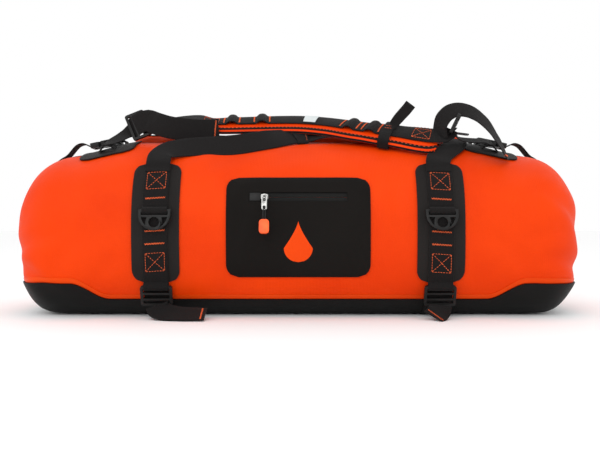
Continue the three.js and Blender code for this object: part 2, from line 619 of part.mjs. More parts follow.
// The double webbing: a layer on the pad, and one sewn over it that humps round the ring's bar and the
// lock's bar. sewnOver gives how high the upper layer's two faces stand off the lower layer at girth g.
const TUNNEL_EDGE = 1.35; // the tunnel's half width, in its radii
const humpAt = [0, 0.75, 1.15, TUNNEL_EDGE, TUNNEL_EDGE + 0.35];
function sewnOver(g) {
  for (const [middle, radius] of [[ringGirth, RING_TUNNEL], [lockGirth, LOCK_TUNNEL]]) {
    const off = Math.abs(g - middle) / radius;
    if (off > humpAt[4] + 0.01) continue;
    const roof = [2 * radius, 1.7 * radius, 0.8 * radius, 0, 0];
    const outside = [2 * radius + WEB_THICK, 2 * radius + WEB_THICK - 0.3, 1.5 * radius + WEB_THICK, 0.7 * radius + WEB_THICK, WEB_THICK];
    let i = 1;
    while (i < 4 && off > humpAt[i]) i++;
    const t = clamp((off - humpAt[i - 1]) / (humpAt[i] - humpAt[i - 1]), 0, 1);
    return [lerp(roof[i - 1], roof[i], t), lerp(outside[i - 1], outside[i], t)];
  }
  return [0, WEB_THICK];
}
function daisyWebbing(x) {
  const humps = [[ringGirth, RING_TUNNEL], [lockGirth, LOCK_TUNNEL]].flatMap(([middle, radius]) =>
    humpAt.flatMap((t) => [middle - t * radius, middle + t * radius]),
  );
  const top = padTop + 6;
  const end = lockGirth + humpAt[4] * LOCK_TUNNEL;
  const gs = girths(top, end, humps);
  const across = (i) => x + (i - 0.5) * WEB_WIDTH;
  const seat = webFloor + WEB_THICK;
  const lower = sheet(1, gs.length - 1, (i, j, s) => skin(across(i), gs[j], s ? seat : webFloor));
  const upper = sheet(1, gs.length - 1, (i, j, s) => {
    const lift = sewnOver(gs[j])[s];
    return skin(across(i), gs[j], seat + (s || lift > 0 ? lift : -0.1));
  });
  return join(lower, upper);
}
const mirrored = (geometry) => {
  const g = geometry.index ? geometry.toNonIndexed() : geometry.clone();
  return outward(g.applyMatrix4(new THREE.Matrix4().makeScale(1, -1, 1)));
};

// The D-ring: bar on top, a round eye below it and two side windows. Its origin is the bar's axis.
function dRing() {
  const [halfWide, drop] = [24.5, 31];
  const s = new THREE.Shape();
  s.moveTo(-halfWide, RING_BAR / 2);
  s.lineTo(-halfWide, -9);
  s.bezierCurveTo(-halfWide + 1, -22, -12, -drop, 0, -drop);
  s.bezierCurveTo(12, -drop, halfWide - 1, -22, halfWide, -9);
  s.lineTo(halfWide, RING_BAR / 2);
  const eye = new THREE.Path();
  eye.absarc(0, -18.6, 8.4, 0, Math.PI * 2);
  const window = new THREE.Path();
  window.moveTo(-20.4, -RING_BAR / 2);
  window.lineTo(20.4, -RING_BAR / 2);
  window.lineTo(20.4, -7.4);
  window.lineTo(-20.4, -7.4);
  const gap = (m) => {
    const p = new THREE.Path();
    p.moveTo(m * 20.2, -10.4);
    p.quadraticCurveTo(m * 18, -18.5, m * 12.6, -23.8);
    p.quadraticCurveTo(m * 13.4, -17, m * 11, -11);
    return p;
  };
  s.holes.push(eye, window, gap(1), gap(-1));
  return plate(s, RING_BAR, 5);
}

// The ladder lock: upper bar, middle bar and a lower lip. Its origin is the upper bar's axis.
function ladderLock() {
  const wide = LOCK_WIDTH;
  const s = roundedRectangle(wide, LOCK_HEIGHT, 4, THREE.Shape, 0, -LOCK_HEIGHT / 2 + 2.2);
  const slots = [
    [-5.6, 6.6],
    [-15.2, 6.4],
    [-24, 5],
  ];
  for (const [y, h] of slots) {
    const w = WEB_WIDTH / 2 + 1.3;
    const hole = new THREE.Path();
    hole.moveTo(-w, y - h / 2);
    hole.lineTo(w, y - h / 2);
    hole.lineTo(w, y + h / 2);
    hole.lineTo(-w, y + h / 2);
    s.holes.push(hole);
  }
  return plate(s, LOCK_THICK, 3);
}

const RING_REST = 0.12; // the ring leans this far off the webbing
const LOCK_REST = 0.1;
for (const [face, fs] of Object.entries(faces))
  for (const [side, ss] of Object.entries(sides)) {
    const name = face + "_" + side;
    const turn = (g) => (fs > 0 ? g : mirrored(g));
    const x = ss * PAD_X;
    add("strap_pad_" + name, turn(patch(x, PAD_WIDTH / 2, padTop, padFoot, PAD_CORNER, GAP, GAP + PAD_THICK)), blackFabric);
    add("daisy_webbing_" + name, turn(daisyWebbing(x)), webbing);
    const ringPlace = onSkin(x, fs * ringGirth, ringHeight, -RING_REST);
    const ring = add("d_ring_" + name, dRing(), blackPlastic, ringPlace);
    const lockPlace = onSkin(x, fs * lockGirth, lockRise, -LOCK_REST);
    const lock = add("side_lock_" + name, ladderLock(), blackPlastic, lockPlace);
    if (fs < 0) {
      ring.rotation.z = Math.PI;
      lock.rotation.z = Math.PI;
      ringPlace.rotateX(2 * RING_REST);
      lockPlace.rotateX(2 * LOCK_REST);
    }
  }

// Each base strap runs under the bag, in the foam's channel, from the back locks to the front locks.
const baseStrapStart = girthAt(25);
for (const [side, ss] of Object.entries(sides)) {
  const gs = girths(baseStrapStart, 2 * HALF_GIRTH - baseStrapStart);
  const low = GAP + BOOT_EASE + BASE_WALL + 0.7;
  const at = (i, j, s) => skin(ss * PAD_X + (i - 0.5) * WEB_WIDTH, gs[j], low + s * WEB_THICK);
  add("base_strap_" + side, sheet(1, gs.length - 1, at), webbing);
}

// The front straps' free tails lie on the ground in front of the base.
const tailLine = {
  left: [[-202, -161, 7.5], [-192, -165, 5.6], [-176, -168, 3.4], [-152, -169, 2.4], [-132, -169, 2.6]],
  right: [[212, -161, 12], [208, -167, 8], [202, -171, 4.6], [190, -174, 2.6], [176, -175, 2.6]],
};
for (const [side, points] of Object.entries(tailLine)) {
  const up = [[0, -0.6, 0.8], [0, -0.4, 0.9], [0, -0.15, 1], [0, 0, 1], [0, 0, 1]];
  add("base_strap_tail_" + side, ribbon(points, up, END_WEB_WIDTH, WEB_THICK, 10), webbing);
}

// ---- front pocket with its sealed zip ---------------------------------------------------------------------------
const pocketTop = girthAt(POCKET_TOP_Z);
const pocketFoot = girthAt(POCKET_FOOT_Z);
const slotTop = girthAt(POCKET_SLOT_Z + POCKET_SLOT_HEIGHT / 2);
const slotFoot = girthAt(POCKET_SLOT_Z - POCKET_SLOT_HEIGHT / 2);
const slotMiddle = (slotTop + slotFoot) / 2;
const POCKET_SKIN = 2.0;
const POCKET_PUFF = 2.5; // how far the empty pocket stands off the tube
function pocketPanel() {
  const rows = girths(pocketTop, pocketFoot, [
    ...[0.02, 0.12, 0.3, 0.55, 1].flatMap((t) => [pocketTop + POCKET_CORNER * t, pocketFoot - POCKET_CORNER * t]),
    slotTop,
    slotFoot,
  ]);
  const columns = [-1, -POCKET_SLOT_WIDTH / POCKET_WIDTH, 0, POCKET_SLOT_WIDTH / POCKET_WIDTH, 1];
  const at = (i, j, side) => {
    const g = rows[j];
    const into = Math.min(g - pocketTop, pocketFoot - g);
    const corner = Math.max(POCKET_CORNER - into, 0);
    const edge = POCKET_WIDTH / 2 - POCKET_CORNER + Math.sqrt(Math.max(POCKET_CORNER ** 2 - corner ** 2, 0));
    const x = Math.abs(columns[i]) === 1 ? columns[i] * edge : (columns[i] * POCKET_WIDTH) / 2;
    return skin(x, g, side ? POCKET_PUFF + POCKET_SKIN : POCKET_PUFF);
  };
  const slot = (i, j) => (i === 1 || i === 2) && rows[j] >= slotTop - 0.1 && rows[j + 1] <= slotFoot + 0.1;
  return sheet(columns.length - 1, rows.length - 1, at, (i, j) => !slot(i, j));
}
add("pocket_panel", pocketPanel(), blackFabric);

const CHAIN_SPACE = 0.8; // half the space between the pocket zip's two tapes
const POCKET_TAPE = 1.2;
const tapeRise = POCKET_PUFF - GAP - POCKET_TAPE; // the tapes lie behind the slot
const zipRows = { upper: [slotTop - 5, slotMiddle - CHAIN_SPACE], lower: [slotMiddle + CHAIN_SPACE, slotFoot + 5] };
for (const [name, [from, to]] of Object.entries(zipRows)) {
  const rows = girths(from, to);
  const half = POCKET_SLOT_WIDTH / 2 + 5;
  const at = (i, j, s) => skin(lerp(-half, half, i), rows[j], tapeRise + s * POCKET_TAPE);
  add("pocket_zip_tape_" + name, sheet(1, rows.length - 1, at), blackFabric);
}
// The garage is the hood that the slider parks in.
const GARAGE_WIDTH = 17;
{
  const rows = girths(slotTop + 0.5, slotFoot - 0.5);
  const start = -POCKET_SLOT_WIDTH / 2 + 0.6;
  const at = (i, j, s) => skin(start + GARAGE_WIDTH * i, rows[j], s ? POCKET_PUFF + POCKET_SKIN + 0.6 : POCKET_PUFF + 0.1);
  add("pocket_zip_garage", sheet(1, rows.length - 1, at), blackPlastic);
}

const POCKET_SLIDER_X = -51.5;
const POCKET_PULL_LENGTH = 24;
const POCKET_PIN_H = POCKET_PUFF + 6.2;
const sliderSpot = onSkin(POCKET_SLIDER_X, slotMiddle, 0);
function pocketSlider() {
  const low = POCKET_PUFF + 0.1;
  const body = plate(roundedRectangle(11, 9, 2.5), 2).translate(0, 0, low + 1);
  const keel = box(4, 2 * CHAIN_SPACE - 0.8, 2.6, 0, 0, low - 0.8);
  const crown = box(3.2, 7, 4.8, 0, 0, low + 4);
  const hole = new THREE.CylinderGeometry(1.6, 1.6, 8, 10).rotateZ(Math.PI / 2).translate(0, 0, POCKET_PIN_H);
  return cut(join(body, keel, crown), hole);
}
add("pocket_zip_slider", pocketSlider(), metal, sliderSpot);
const pullSpot = new THREE.Group();
pullSpot.position.z = POCKET_PIN_H;
pullSpot.rotation.x = -0.06;
sliderSpot.add(pullSpot);
const pullFrame = roundedRectangle(8.4, POCKET_PULL_LENGTH, 3, THREE.Shape, 0, -POCKET_PULL_LENGTH / 2 + 1.4);
pullFrame.holes.push(roundedRectangle(5, 7, 1.5, THREE.Path, 0, -4.6));
pullFrame.holes.push(roundedRectangle(4.4, 5, 1.5, THREE.Path, 0, -POCKET_PULL_LENGTH + 5.4));
const pullPin = new THREE.CylinderGeometry(0.9, 0.9, 7.4, 8).rotateZ(Math.PI / 2);
add("pocket_zip_pull", join(cut(plate(pullFrame, 1.8), box(4.6, 3, 4, 0, 0.1, 0)), pullPin), metal, pullSpot);

// The cord is looped through the pull's eye and its two ends go into the moulded tab.
const CORD = 1.6;
const TAB_TOP = -POCKET_PULL_LENGTH - 14;
const TAB_LENGTH = 22;
const TAB_WIDTH = 15;
function pullCord() {
  const eye = -POCKET_PULL_LENGTH + 4.2;
  const path = [[-1.6, TAB_TOP + 0.4, 0], [-1.7, eye - 8, 0.8], [-1.5, eye - 3.4, 2.2], [-0.9, eye, 2.9]];
  const over = [[0.9, eye, 2.9], [1.5, eye - 3.4, 2.2], [1.7, eye - 8, 0.8], [1.6, TAB_TOP + 0.4, 0]];
  const line = new THREE.CatmullRomCurve3([...path, ...over].map((p) => vec(...p)));
  const round = new THREE.Shape();
  round.absarc(0, 0, CORD / 2, 0, Math.PI * 2);
  return new THREE.ExtrudeGeometry(round, { steps: 20, extrudePath: line, curveSegments: 3 });
}
add("pocket_pull_cord", pullCord(), webbing, pullSpot);
const tab = roundedRectangle(TAB_WIDTH, TAB_LENGTH, 5, THREE.Shape, 0, TAB_TOP - TAB_LENGTH / 2);
add("pocket_pull_tab", plate(tab, 4.4), orangeRubber, pullSpot);

// ---- carry handles --------------------------------------------------------------------------------------------------
const HANDLE_STEPS = 30;
const handleTop = padTop + 3;
const onBag = (list) => list.map(([u, g, h]) => skin(u, g, h).toArray());
const facingOut = (list) => list.map(([u, g]) => skinNormal(u, g).toArray());
const frontHandle = [
  [-PAD_X, handleTop, 9.5], [-PAD_X + 2, padTop - 14, 10], [-200, padTop - 28, 9], [-150, 98, 5], [-102, 94, 4],
  [-50, 72, 8], [-2, 50, 11], [50, 46, 11], [110, 44, 8], [160, 50, 7], [205, 50, 8], [240, 56, 9],
  [258, 74, 10], [250, 96, 9], [PAD_X + 5, padTop - 15, 9], [PAD_X, handleTop, 10],
];
add("front_handle", ribbon(onBag(frontHandle), facingOut(frontHandle), WEB_WIDTH, WEB_THICK, HANDLE_STEPS), webbing);
const backHandle = [
  [-PAD_X, -handleTop, 8], [-PAD_X + 4, -padTop + 16, 9], [-190, -106, 8], [-120, -96, 5], [0, -94, 5],
  [120, -96, 5], [190, -106, 8], [PAD_X - 4, -padTop + 16, 9], [PAD_X, -handleTop, 8],
];
add("back_handle", ribbon(onBag(backHandle), facingOut(backHandle), WEB_WIDTH, WEB_THICK, HANDLE_STEPS), webbing);

// ---- padded shoulder strap, lying across the top ----------------------------------------------------------------------
// The pad's middle line, and the way its padded face looks at each point.
const overRidge = (list) => list.map(([x, y, z]) => [x, y, RIDGE_TOP + z]);
const strapLine = overRidge([
  [-150, -28, 18], [-110, -28, 19], [0, -28, 21], [50, -38, 16], [105, -60, 6], [156, -78, -2], [200, -90, -9],
  [224, -93, -12],
]);
const strapFace = [
  [0, -0.4, 0.92], [0, -0.42, 0.9], [0, -0.45, 0.89], [0, -0.46, 0.88], [0, -0.48, 0.87], [0, -0.54, 0.84],
  [0, -0.58, 0.81], [0, -0.6, 0.8],
];
const PAD_CORNER_SHARE = 0.06; // share of the pad's length that its rounded ends take
const cornerSteps = [0, 0.005, 0.02, 0.04, PAD_CORNER_SHARE];
const padSteps = [
  ...cornerSteps,
  ...[0.15, 0.25, 0.35, 0.45, 0.55, 0.65, 0.75, 0.85],
  ...cornerSteps.map((t) => 1 - t).reverse(),
];
const padLine = new THREE.CatmullRomCurve3(strapLine.map((p) => vec(...p)), false, "centripetal");
const padFace = new THREE.CatmullRomCurve3(strapFace.map((p) => vec(...p)), false, "centripetal");
function padStation(t) {
  const along = padLine.getTangent(t);
  const across = padFace.getPoint(t).cross(along).normalize();
  return { p: padLine.getPoint(t), along, across, normal: along.clone().cross(across).normalize() };
}
function shoulderPad() {
  const share = [-1, -0.94, 0.94, 1];
  const at = (i, j, side) => {
    const t = padSteps[i];
    const s = padStation(t);
    const into = Math.min(t, 1 - t, PAD_CORNER_SHARE) / PAD_CORNER_SHARE;
    const half = (STRAP_WIDTH / 2) * lerp(0.62, 1, Math.sqrt(1 - (1 - into) ** 2));
    const thick = Math.abs(share[j]) === 1 || t === 0 || t === 1 ? STRAP_THICK * 0.45 : STRAP_THICK;
    return s.p.addScaledVector(s.across, share[j] * half).addScaledVector(s.normal, (side - 0.5) * thick);
  };
  return sheet(padSteps.length - 1, share.length - 1, at);
}
add("shoulder_pad", shoulderPad(), orangeFabric);

// The webbing is sewn along the pad's face and runs on to the adjuster at each end.
const WEB_RISE = STRAP_THICK / 2 + 2 * GAP;
function strapWebbing() {
  const lead = overRidge([[-228, -46, 18], [-212, -43, 21], [-190, -38, 25], [-168, -33, 27]]);
  const exit = overRidge([[236, -98, -1], [241, -101, 4]]);
  const free = (list, t) => {
    const ref = padStation(t);
    return list.map((p) => ({ p: vec(...p), across: ref.across, normal: ref.normal }));
  };
  const sewn = padSteps.map((t) => {
    const s = padStation(t);
    return { ...s, p: s.p.addScaledVector(s.normal, WEB_RISE) };
  });
  const stations = [...free(lead, 0), ...sewn, ...free(exit, 1)];
  const at = (i, j, side) => {
    const s = stations[i];
    return s.p.clone().addScaledVector(s.across, (j - 0.5) * WEB_WIDTH).addScaledVector(s.normal, side * WEB_THICK);
  };
  return sheet(stations.length - 1, 1, at);
}
add("shoulder_webbing", strapWebbing(), webbing);

// Places a group on the pad at a share of its length: x along the strap, z out of its face.
function onPad(t, rise) {
  const s = padStation(t);
  const place = new THREE.Group();
  place.quaternion.setFromRotationMatrix(new THREE.Matrix4().makeBasis(s.along, s.across, s.normal));
  place.position.copy(s.p.addScaledVector(s.normal, rise));
  bag.add(place);
  return place;
}
const LABEL = [22, 30, 0.8];
const LABEL_SHARE = 0.347;
add("strap_label", box(...LABEL), material(0xc9d2d2, 0.8), onPad(LABEL_SHARE, WEB_RISE + WEB_THICK + 2 * GAP + LABEL[2] / 2));

// The keeper is a loop of narrow webbing round the pad.
const KEEPER_WIDTH = 18;
function keeper() {
  const hole = [STRAP_WIDTH + 3, STRAP_THICK + 6];
  const outer = box(KEEPER_WIDTH, hole[0] + 2 * WEB_THICK, hole[1] + 2 * WEB_THICK);
  return cut(outer, box(KEEPER_WIDTH + 2, ...hole));
}
const KEEPER_SHARE = 0.69;
add("strap_keeper", keeper(), webbing, onPad(KEEPER_SHARE, 1.6));

// Each adjuster is a ladder lock that the strap's webbing doubles back through. Its bars run along the given
// line and its body hangs opposite to up.
function lockAt(middle, bars, up) {
  const x = vec(...bars).normalize();
  const z = x.clone().cross(vec(...up)).normalize();
  const y = z.clone().cross(x);
  const place = new THREE.Group();
  place.quaternion.setFromRotationMatrix(new THREE.Matrix4().makeBasis(x, y, z));
  place.position.copy(vec(...overRidge([middle])[0]).addScaledVector(y, LOCK_HEIGHT / 2 - 2.2));
  bag.add(place);
  return place;
}
add("strap_lock_left", ladderLock(), blackPlastic, lockAt([-268, -52, 13], [0.4, -0.3, -0.87], [0.88, 0.1, 0.42]));
add("strap_lock_right", ladderLock(), blackPlastic, lockAt([252, -104, 9], [0.25, 0.95, 0.15], [0.45, 0, 0.9]));
const leftTail = overRidge([[-240, -64, 8], [-222, -67, 6], [-190, -68, 4], [-155, -66, 2], [-132, -63, 4]]);
add("strap_tail_left", ribbon(leftTail, leftTail.map(() => [0, -1, 0.12]), WEB_WIDTH, WEB_THICK, 10), webbing);
const rightTail = overRidge([
  [262, -112, 29], [265, -112, 39], [273, -112, 44], [286, -113, 38], [304, -116, 13], [322, -122, -19], [336, -128, -49],
]);
const tailFace = [[-1, 0, 0.2], [-0.6, 0, 0.7], [0, 0, 1], [0.6, 0, 0.8], [0.85, 0, 0.5], [0.9, 0, 0.4], [0.9, 0, 0.4]];
add("strap_tail_right", ribbon(rightTail, tailFace, END_WEB_WIDTH, WEB_THICK, 14), webbing);

// The strap is anchored by a folded webbing loop on each top patch.
for (const [side, sign] of Object.entries(sides)) {
  const rise = 3 * GAP + PAD_THICK + 0.6;
  const loop = [[300, 0], [306, 5], [313, 8], [320, 5], [326, 0]];
  const line = loop.map(([u, h]) => skin(sign * u, 72, rise + h).toArray());
  add("strap_anchor_" + side, ribbon(line, loop.map(([u]) => skinNormal(sign * u, 72).toArray()), END_WEB_WIDTH, WEB_THICK, 8), webbing);
}

export default bag;
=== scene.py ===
import math

import bpy
import numpy as np
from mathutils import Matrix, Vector, noise


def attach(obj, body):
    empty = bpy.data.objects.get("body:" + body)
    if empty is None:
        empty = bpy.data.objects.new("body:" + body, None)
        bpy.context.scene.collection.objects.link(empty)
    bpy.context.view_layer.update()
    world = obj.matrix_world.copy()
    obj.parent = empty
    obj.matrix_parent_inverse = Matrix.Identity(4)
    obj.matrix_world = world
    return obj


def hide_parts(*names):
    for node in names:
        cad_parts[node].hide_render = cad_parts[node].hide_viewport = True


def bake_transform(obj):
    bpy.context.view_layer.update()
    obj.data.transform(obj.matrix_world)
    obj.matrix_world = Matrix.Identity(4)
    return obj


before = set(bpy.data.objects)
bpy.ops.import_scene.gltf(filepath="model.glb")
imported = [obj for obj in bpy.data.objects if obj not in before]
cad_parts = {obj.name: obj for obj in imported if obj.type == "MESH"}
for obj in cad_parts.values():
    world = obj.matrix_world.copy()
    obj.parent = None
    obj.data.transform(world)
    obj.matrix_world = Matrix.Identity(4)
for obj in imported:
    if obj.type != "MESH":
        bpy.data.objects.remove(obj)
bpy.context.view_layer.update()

# The bag is looked at from the front, level with the middle of its side and from a short step away.
# The eye stands a little over a metre in front of the zip line.
EYE, LENS = (0.0026, -1.25, 0.144), 42.9
bpy.ops.object.select_all(action="DESELECT")
bpy.ops.object.camera_add(location=EYE, rotation=(math.pi / 2, 0, 0))
camera = bpy.context.object
camera.data.lens = LENS
camera.data.sensor_width = 36
camera.data.clip_end = 50
bpy.context.scene.camera = camera
bpy.context.scene.view_settings.view_transform = "Standard"

# The studio: a pale floor that runs out of sight, a bright even room, one broad soft lamp above the eye
# and a weaker one at each side.
bpy.ops.mesh.primitive_grid_add(x_subdivisions=8, y_subdivisions=8, size=30)
floor = bpy.context.object
floor.name = "studio_floor"
floor_paint = bpy.data.materials.new("studio_floor")
floor_paint.use_nodes = True
floor_paint.node_tree.nodes["Principled BSDF"].inputs["Base Color"].default_value = (0.97, 0.97, 0.97, 1)
floor_paint.node_tree.nodes["Principled BSDF"].inputs["Roughness"].default_value = 0.9
floor.data.materials.append(floor_paint)
room = bpy.data.worlds.new("studio_room")
room.use_nodes = True
room.node_tree.nodes["Background"].inputs["Color"].default_value = (1, 1, 1, 1)
room.node_tree.nodes["Background"].inputs["Strength"].default_value = 1.0
bpy.context.scene.world = room


def softbox(name, place, aim, size, power):
    bpy.ops.object.light_add(type="AREA", location=place)
    lamp = bpy.context.object
    lamp.name = name
    lamp.data.size = size
    lamp.data.energy = power
    lamp.rotation_euler = (Vector(aim) - Vector(place)).to_track_quat("-Z", "Y").to_euler()
    return lamp


key = softbox("key_lamp", (-0.5, -2.4, 1.7), (0, 0, 0.1), 1.6, 20)
left_fill = softbox("left_lamp", (-2.6, -1.2, 0.9), (0, 0, 0.15), 1.4, 7)
right_fill = softbox("right_lamp", (2.6, -1.2, 0.9), (0, 0, 0.15), 1.4, 7)

# The tube is heavy woven cloth with an orange coating, welded into a long rounded barrel with soft ends.
# It isn't quite full, so its sides carry shallow dents and its ends are creased. Every flat piece of the
# bag is cut flat on the table, x along the bag, y down its girth and z off its skin, and is then laid on it.
LENGTH, DEPTH, HEIGHT = 0.920, 0.320, 0.286
END_ROUND, END_POWER_TOP, END_POWER_BASE = 0.090, 2.25, 2.65
TOP_POWER, BASE_POWER = 2.25, 3.0
WAIST, BASE_DROP = 0.142, 0.150
TOP_TAPER, TAPER_START, TAPER_RUN = 0.023, 0.256, 0.122
FLOOR_GAP = 0.0047
STRAIGHT = LENGTH / 2 - END_ROUND
END_ARC = STRAIGHT + END_ROUND * math.pi / 2


def ease(t):
    t = np.clip(t, 0, 1)
    return t * t * (3 - 2 * t)


def tube_section():
    """Girth from the top line down one side, with the half depth and height there."""
    t = np.linspace(0, math.pi, 3000)
    upper = np.cos(t) >= 0
    power = 2 / np.where(upper, TOP_POWER, BASE_POWER)
    rise = np.where(upper, HEIGHT - WAIST, BASE_DROP)
    z = np.maximum(WAIST + np.sign(np.cos(t)) * rise * np.abs(np.cos(t)) ** power, FLOOR_GAP)
    y = DEPTH / 2 * np.abs(np.sin(t)) ** power
    run = np.concatenate([[0], np.cumsum(np.hypot(np.diff(y), np.diff(z)))])
    return run, y, z


SECTION_RUN, SECTION_Y, SECTION_Z = tube_section()
HALF_GIRTH = SECTION_RUN[-1]


def girth_at(z):
    return float(np.interp(-z, -SECTION_Z, SECTION_RUN))


def bare_skin(u, g):
    g = (g + HALF_GIRTH) % (2 * HALF_GIRTH) - HALF_GIRTH
    y = -np.sign(g) * np.interp(np.abs(g), SECTION_RUN, SECTION_Y)
    z = np.interp(np.abs(g), SECTION_RUN, SECTION_Z)
    low = np.clip((HEIGHT - z) / HEIGHT, 0, 1)
    power = 2 / (END_POWER_TOP + (END_POWER_BASE - END_POWER_TOP) * low)
    past = np.maximum(np.abs(u) - STRAIGHT, 0)
    turn = math.pi / 2 - np.minimum(past / END_ROUND, math.pi / 2)
    along = np.where(past > 0, np.sign(u) * (STRAIGHT + END_ROUND * np.abs(np.cos(turn)) ** power), u)
    k = np.where(past > 0, np.abs(np.sin(turn)) ** power, 1)
    drop = TOP_TAPER * ease((np.abs(along) - TAPER_START) / TAPER_RUN)
    rise = np.where(z > WAIST, (z - WAIST) * (1 - drop / (HEIGHT - WAIST)), z - WAIST)
    return np.stack([along, y * k, WAIST + rise * k], -1)


# Each crease: where it is on the side (x, height), which side, how far it runs, its lean and its depth.
CREASES = [
    (-0.430, 0.112, 1, 0.050, 0.5, -0.004), (-0.418, 0.070, 1, 0.040, -0.5, -0.004),
    (-0.440, 0.165, 1, 0.040, 1.2, 0.0015), (-0.363, 0.095, 1, 0.035, 0.9, -0.0022),
    (-0.323, 0.180, 1, 0.060, -0.4, -0.0015), (0.433, 0.160, 1, 0.055, -0.9, -0.0045),
    (0.426, 0.085, 1, 0.050, -0.4, -0.005), (0.383, 0.130, 1, 0.035, 0.3, -0.0022),
    (0.328, 0.105, 1, 0.060, -0.7, -0.0018), (0.303, 0.215, 1, 0.050, 0.5, -0.0018),
    (-0.300, 0.075, 1, 0.040, 0.8, -0.0014), (-0.145, 0.120, 1, 0.040, 1.4, -0.0016),
    (0.150, 0.160, 1, 0.050, 1.7, -0.0016), (0.000, 0.255, 1, 0.120, 0.05, -0.0014),
    (-0.130, 0.245, 1, 0.060, 0.5, -0.0014), (-0.388, 0.120, -1, 0.060, 0.6, -0.005),
    (0.408, 0.140, -1, 0.055, -0.7, -0.005), (0.000, 0.120, -1, 0.110, 0.1, -0.003),
    (0.120, 0.190, -1, 0.080, -0.5, -0.002), (-0.110, 0.080, -1, 0.070, 0.4, -0.002),
    (-0.308, 0.190, -1, 0.050, 0.9, -0.002),
]
CREASE_WIDTH = 0.012


def dents(u, g, flat):
    """How far the slack cloth stands off its full shape."""
    depth = np.zeros(len(u))
    side = np.sign(g + 1e-9)
    for x, z, face, run, lean, deep in CREASES:
        dx, dz = flat[:, 0] - x, flat[:, 2] - z
        along = dx * math.cos(lean) + dz * math.sin(lean)
        across = -dx * math.sin(lean) + dz * math.cos(lean)
        across = across + 4 * along**2
        shape = np.exp(-((along / run) ** 2) - (across / CREASE_WIDTH) ** 2)
        rim = np.exp(-((along / run) ** 2) - ((np.abs(across) - 1.7 * CREASE_WIDTH) / CREASE_WIDTH) ** 2)
        depth += np.where(side == face, deep * (shape - 0.35 * rim), 0)
    broad = np.array([noise.noise(Vector((p[0] * 9, p[1] * 9 + 3, p[2] * 11))) for p in flat])
    ends = ease((np.abs(u) - 0.32) / 0.1)
    depth += broad * (0.0008 + 0.0024 * ends)
    return depth * ease((flat[:, 2] - 0.012) / 0.04)


def on_skin(co, slack=1):
    """Lays table points (along, girth, off the skin) on the bag. slack 0 leaves out the cloth's dents."""
    co = np.atleast_2d(co)
    u, g, h = co[:, 0], co[:, 1], co[:, 2]
    step = 0.002
    along = bare_skin(u + step, g) - bare_skin(u - step, g)
    down = bare_skin(u, g + step) - bare_skin(u, g - step)
    normal = np.cross(down, along)
    size = np.linalg.norm(normal, axis=1, keepdims=True)
    flat = bare_skin(u, g)
    normal = np.where(size > 1e-9, normal / np.maximum(size, 1e-12),
        np.sign(u)[:, None] * np.array([[1.0, 0, 0]]))
    return flat + normal * (h + slack * dents(u, g, flat))[:, None]


def points_of(obj):
    co = np.empty(len(obj.data.vertices) * 3)
    obj.data.vertices.foreach_get("co", co)
    return co.reshape(-1, 3)


def set_points(obj, co):
    obj.data.vertices.foreach_set("co", co.ravel())


def lay(obj, way):
    """Moves a piece cut flat on the table to its place on the bag."""
    set_points(obj, way(points_of(obj)))
    obj.data.update()


def alone(obj):
    bpy.ops.object.select_all(action="DESELECT")
    obj.select_set(True)
    bpy.context.view_layer.objects.active = obj


def edit(obj, what="SELECT"):
    alone(obj)
    bpy.ops.object.mode_set(mode="EDIT")
    bpy.ops.mesh.select_all(action=what)


def done():
    bpy.ops.object.mode_set(mode="OBJECT")


def table_grid(name, x_range, y_range, pitch_x, pitch_y):
    """Cloth on the table between two x and two y, divided at about the given pitches."""
    wide, long = x_range[1] - x_range[0], y_range[1] - y_range[0]
    bpy.ops.object.select_all(action="DESELECT")
    bpy.ops.mesh.primitive_grid_add(
        x_subdivisions=max(1, round(wide / pitch_x)), y_subdivisions=max(1, round(long / pitch_y)), size=1)
    cloth = bpy.context.object
    cloth.name = name
    cloth.data.name = name
    edit(cloth)
    bpy.ops.transform.resize(value=(wide, long, 1))
    bpy.ops.transform.translate(value=((x_range[0] + x_range[1]) / 2, (y_range[0] + y_range[1]) / 2, 0))
    done()
    return cloth


def mark_cloth(cloth):
    """Keeps each point's place on the table, in metres, as its UV, so that the weave follows the cloth."""
    if not cloth.data.uv_layers:
        cloth.data.uv_layers.new(name="UVMap")
    layer = cloth.data.uv_layers.active
    co = points_of(cloth)
    corner = np.empty(len(cloth.data.loops), int)
    cloth.data.loops.foreach_get("vertex_index", corner)
    layer.data.foreach_set("uv", co[corner, :2].ravel())


def finish_with(obj, *modifiers):
    alone(obj)
    for kind, facts in modifiers:
        m = obj.modifiers.new(kind.title(), kind)
        for key_name, value in facts.items():
            setattr(m, key_name, value)
        bpy.ops.object.modifier_apply(modifier=m.name)
    return obj


def give_wall(cloth, thick, offset=1):
    return finish_with(cloth, ("SOLIDIFY", {"thickness": thick, "offset": offset}))


def smooth(obj, degrees):
    alone(obj)
    bpy.ops.object.shade_smooth_by_angle(angle=math.radians(degrees))


def face_out(obj):
    edit(obj)
    bpy.ops.mesh.normals_make_consistent(inside=False)
    done()


def close_seam(cloth, gap):
    """Joins the points that meet where a piece is rolled or drawn together, and turns its faces out."""
    edit(cloth)
    bpy.ops.mesh.remove_doubles(threshold=gap)
    bpy.ops.mesh.normals_make_consistent(inside=False)
    done()


def cut_out(cloth, waste):
    """Cuts away the faces whose middle, x and y on the table, is waste."""
    edit(cloth, "DESELECT")
    done()
    for face in cloth.data.polygons:
        face.select = waste(face.center.x, face.center.y)
    bpy.ops.object.mode_set(mode="EDIT")
    bpy.ops.mesh.select_mode(type="FACE")
    bpy.ops.mesh.delete(type="FACE")
    done()


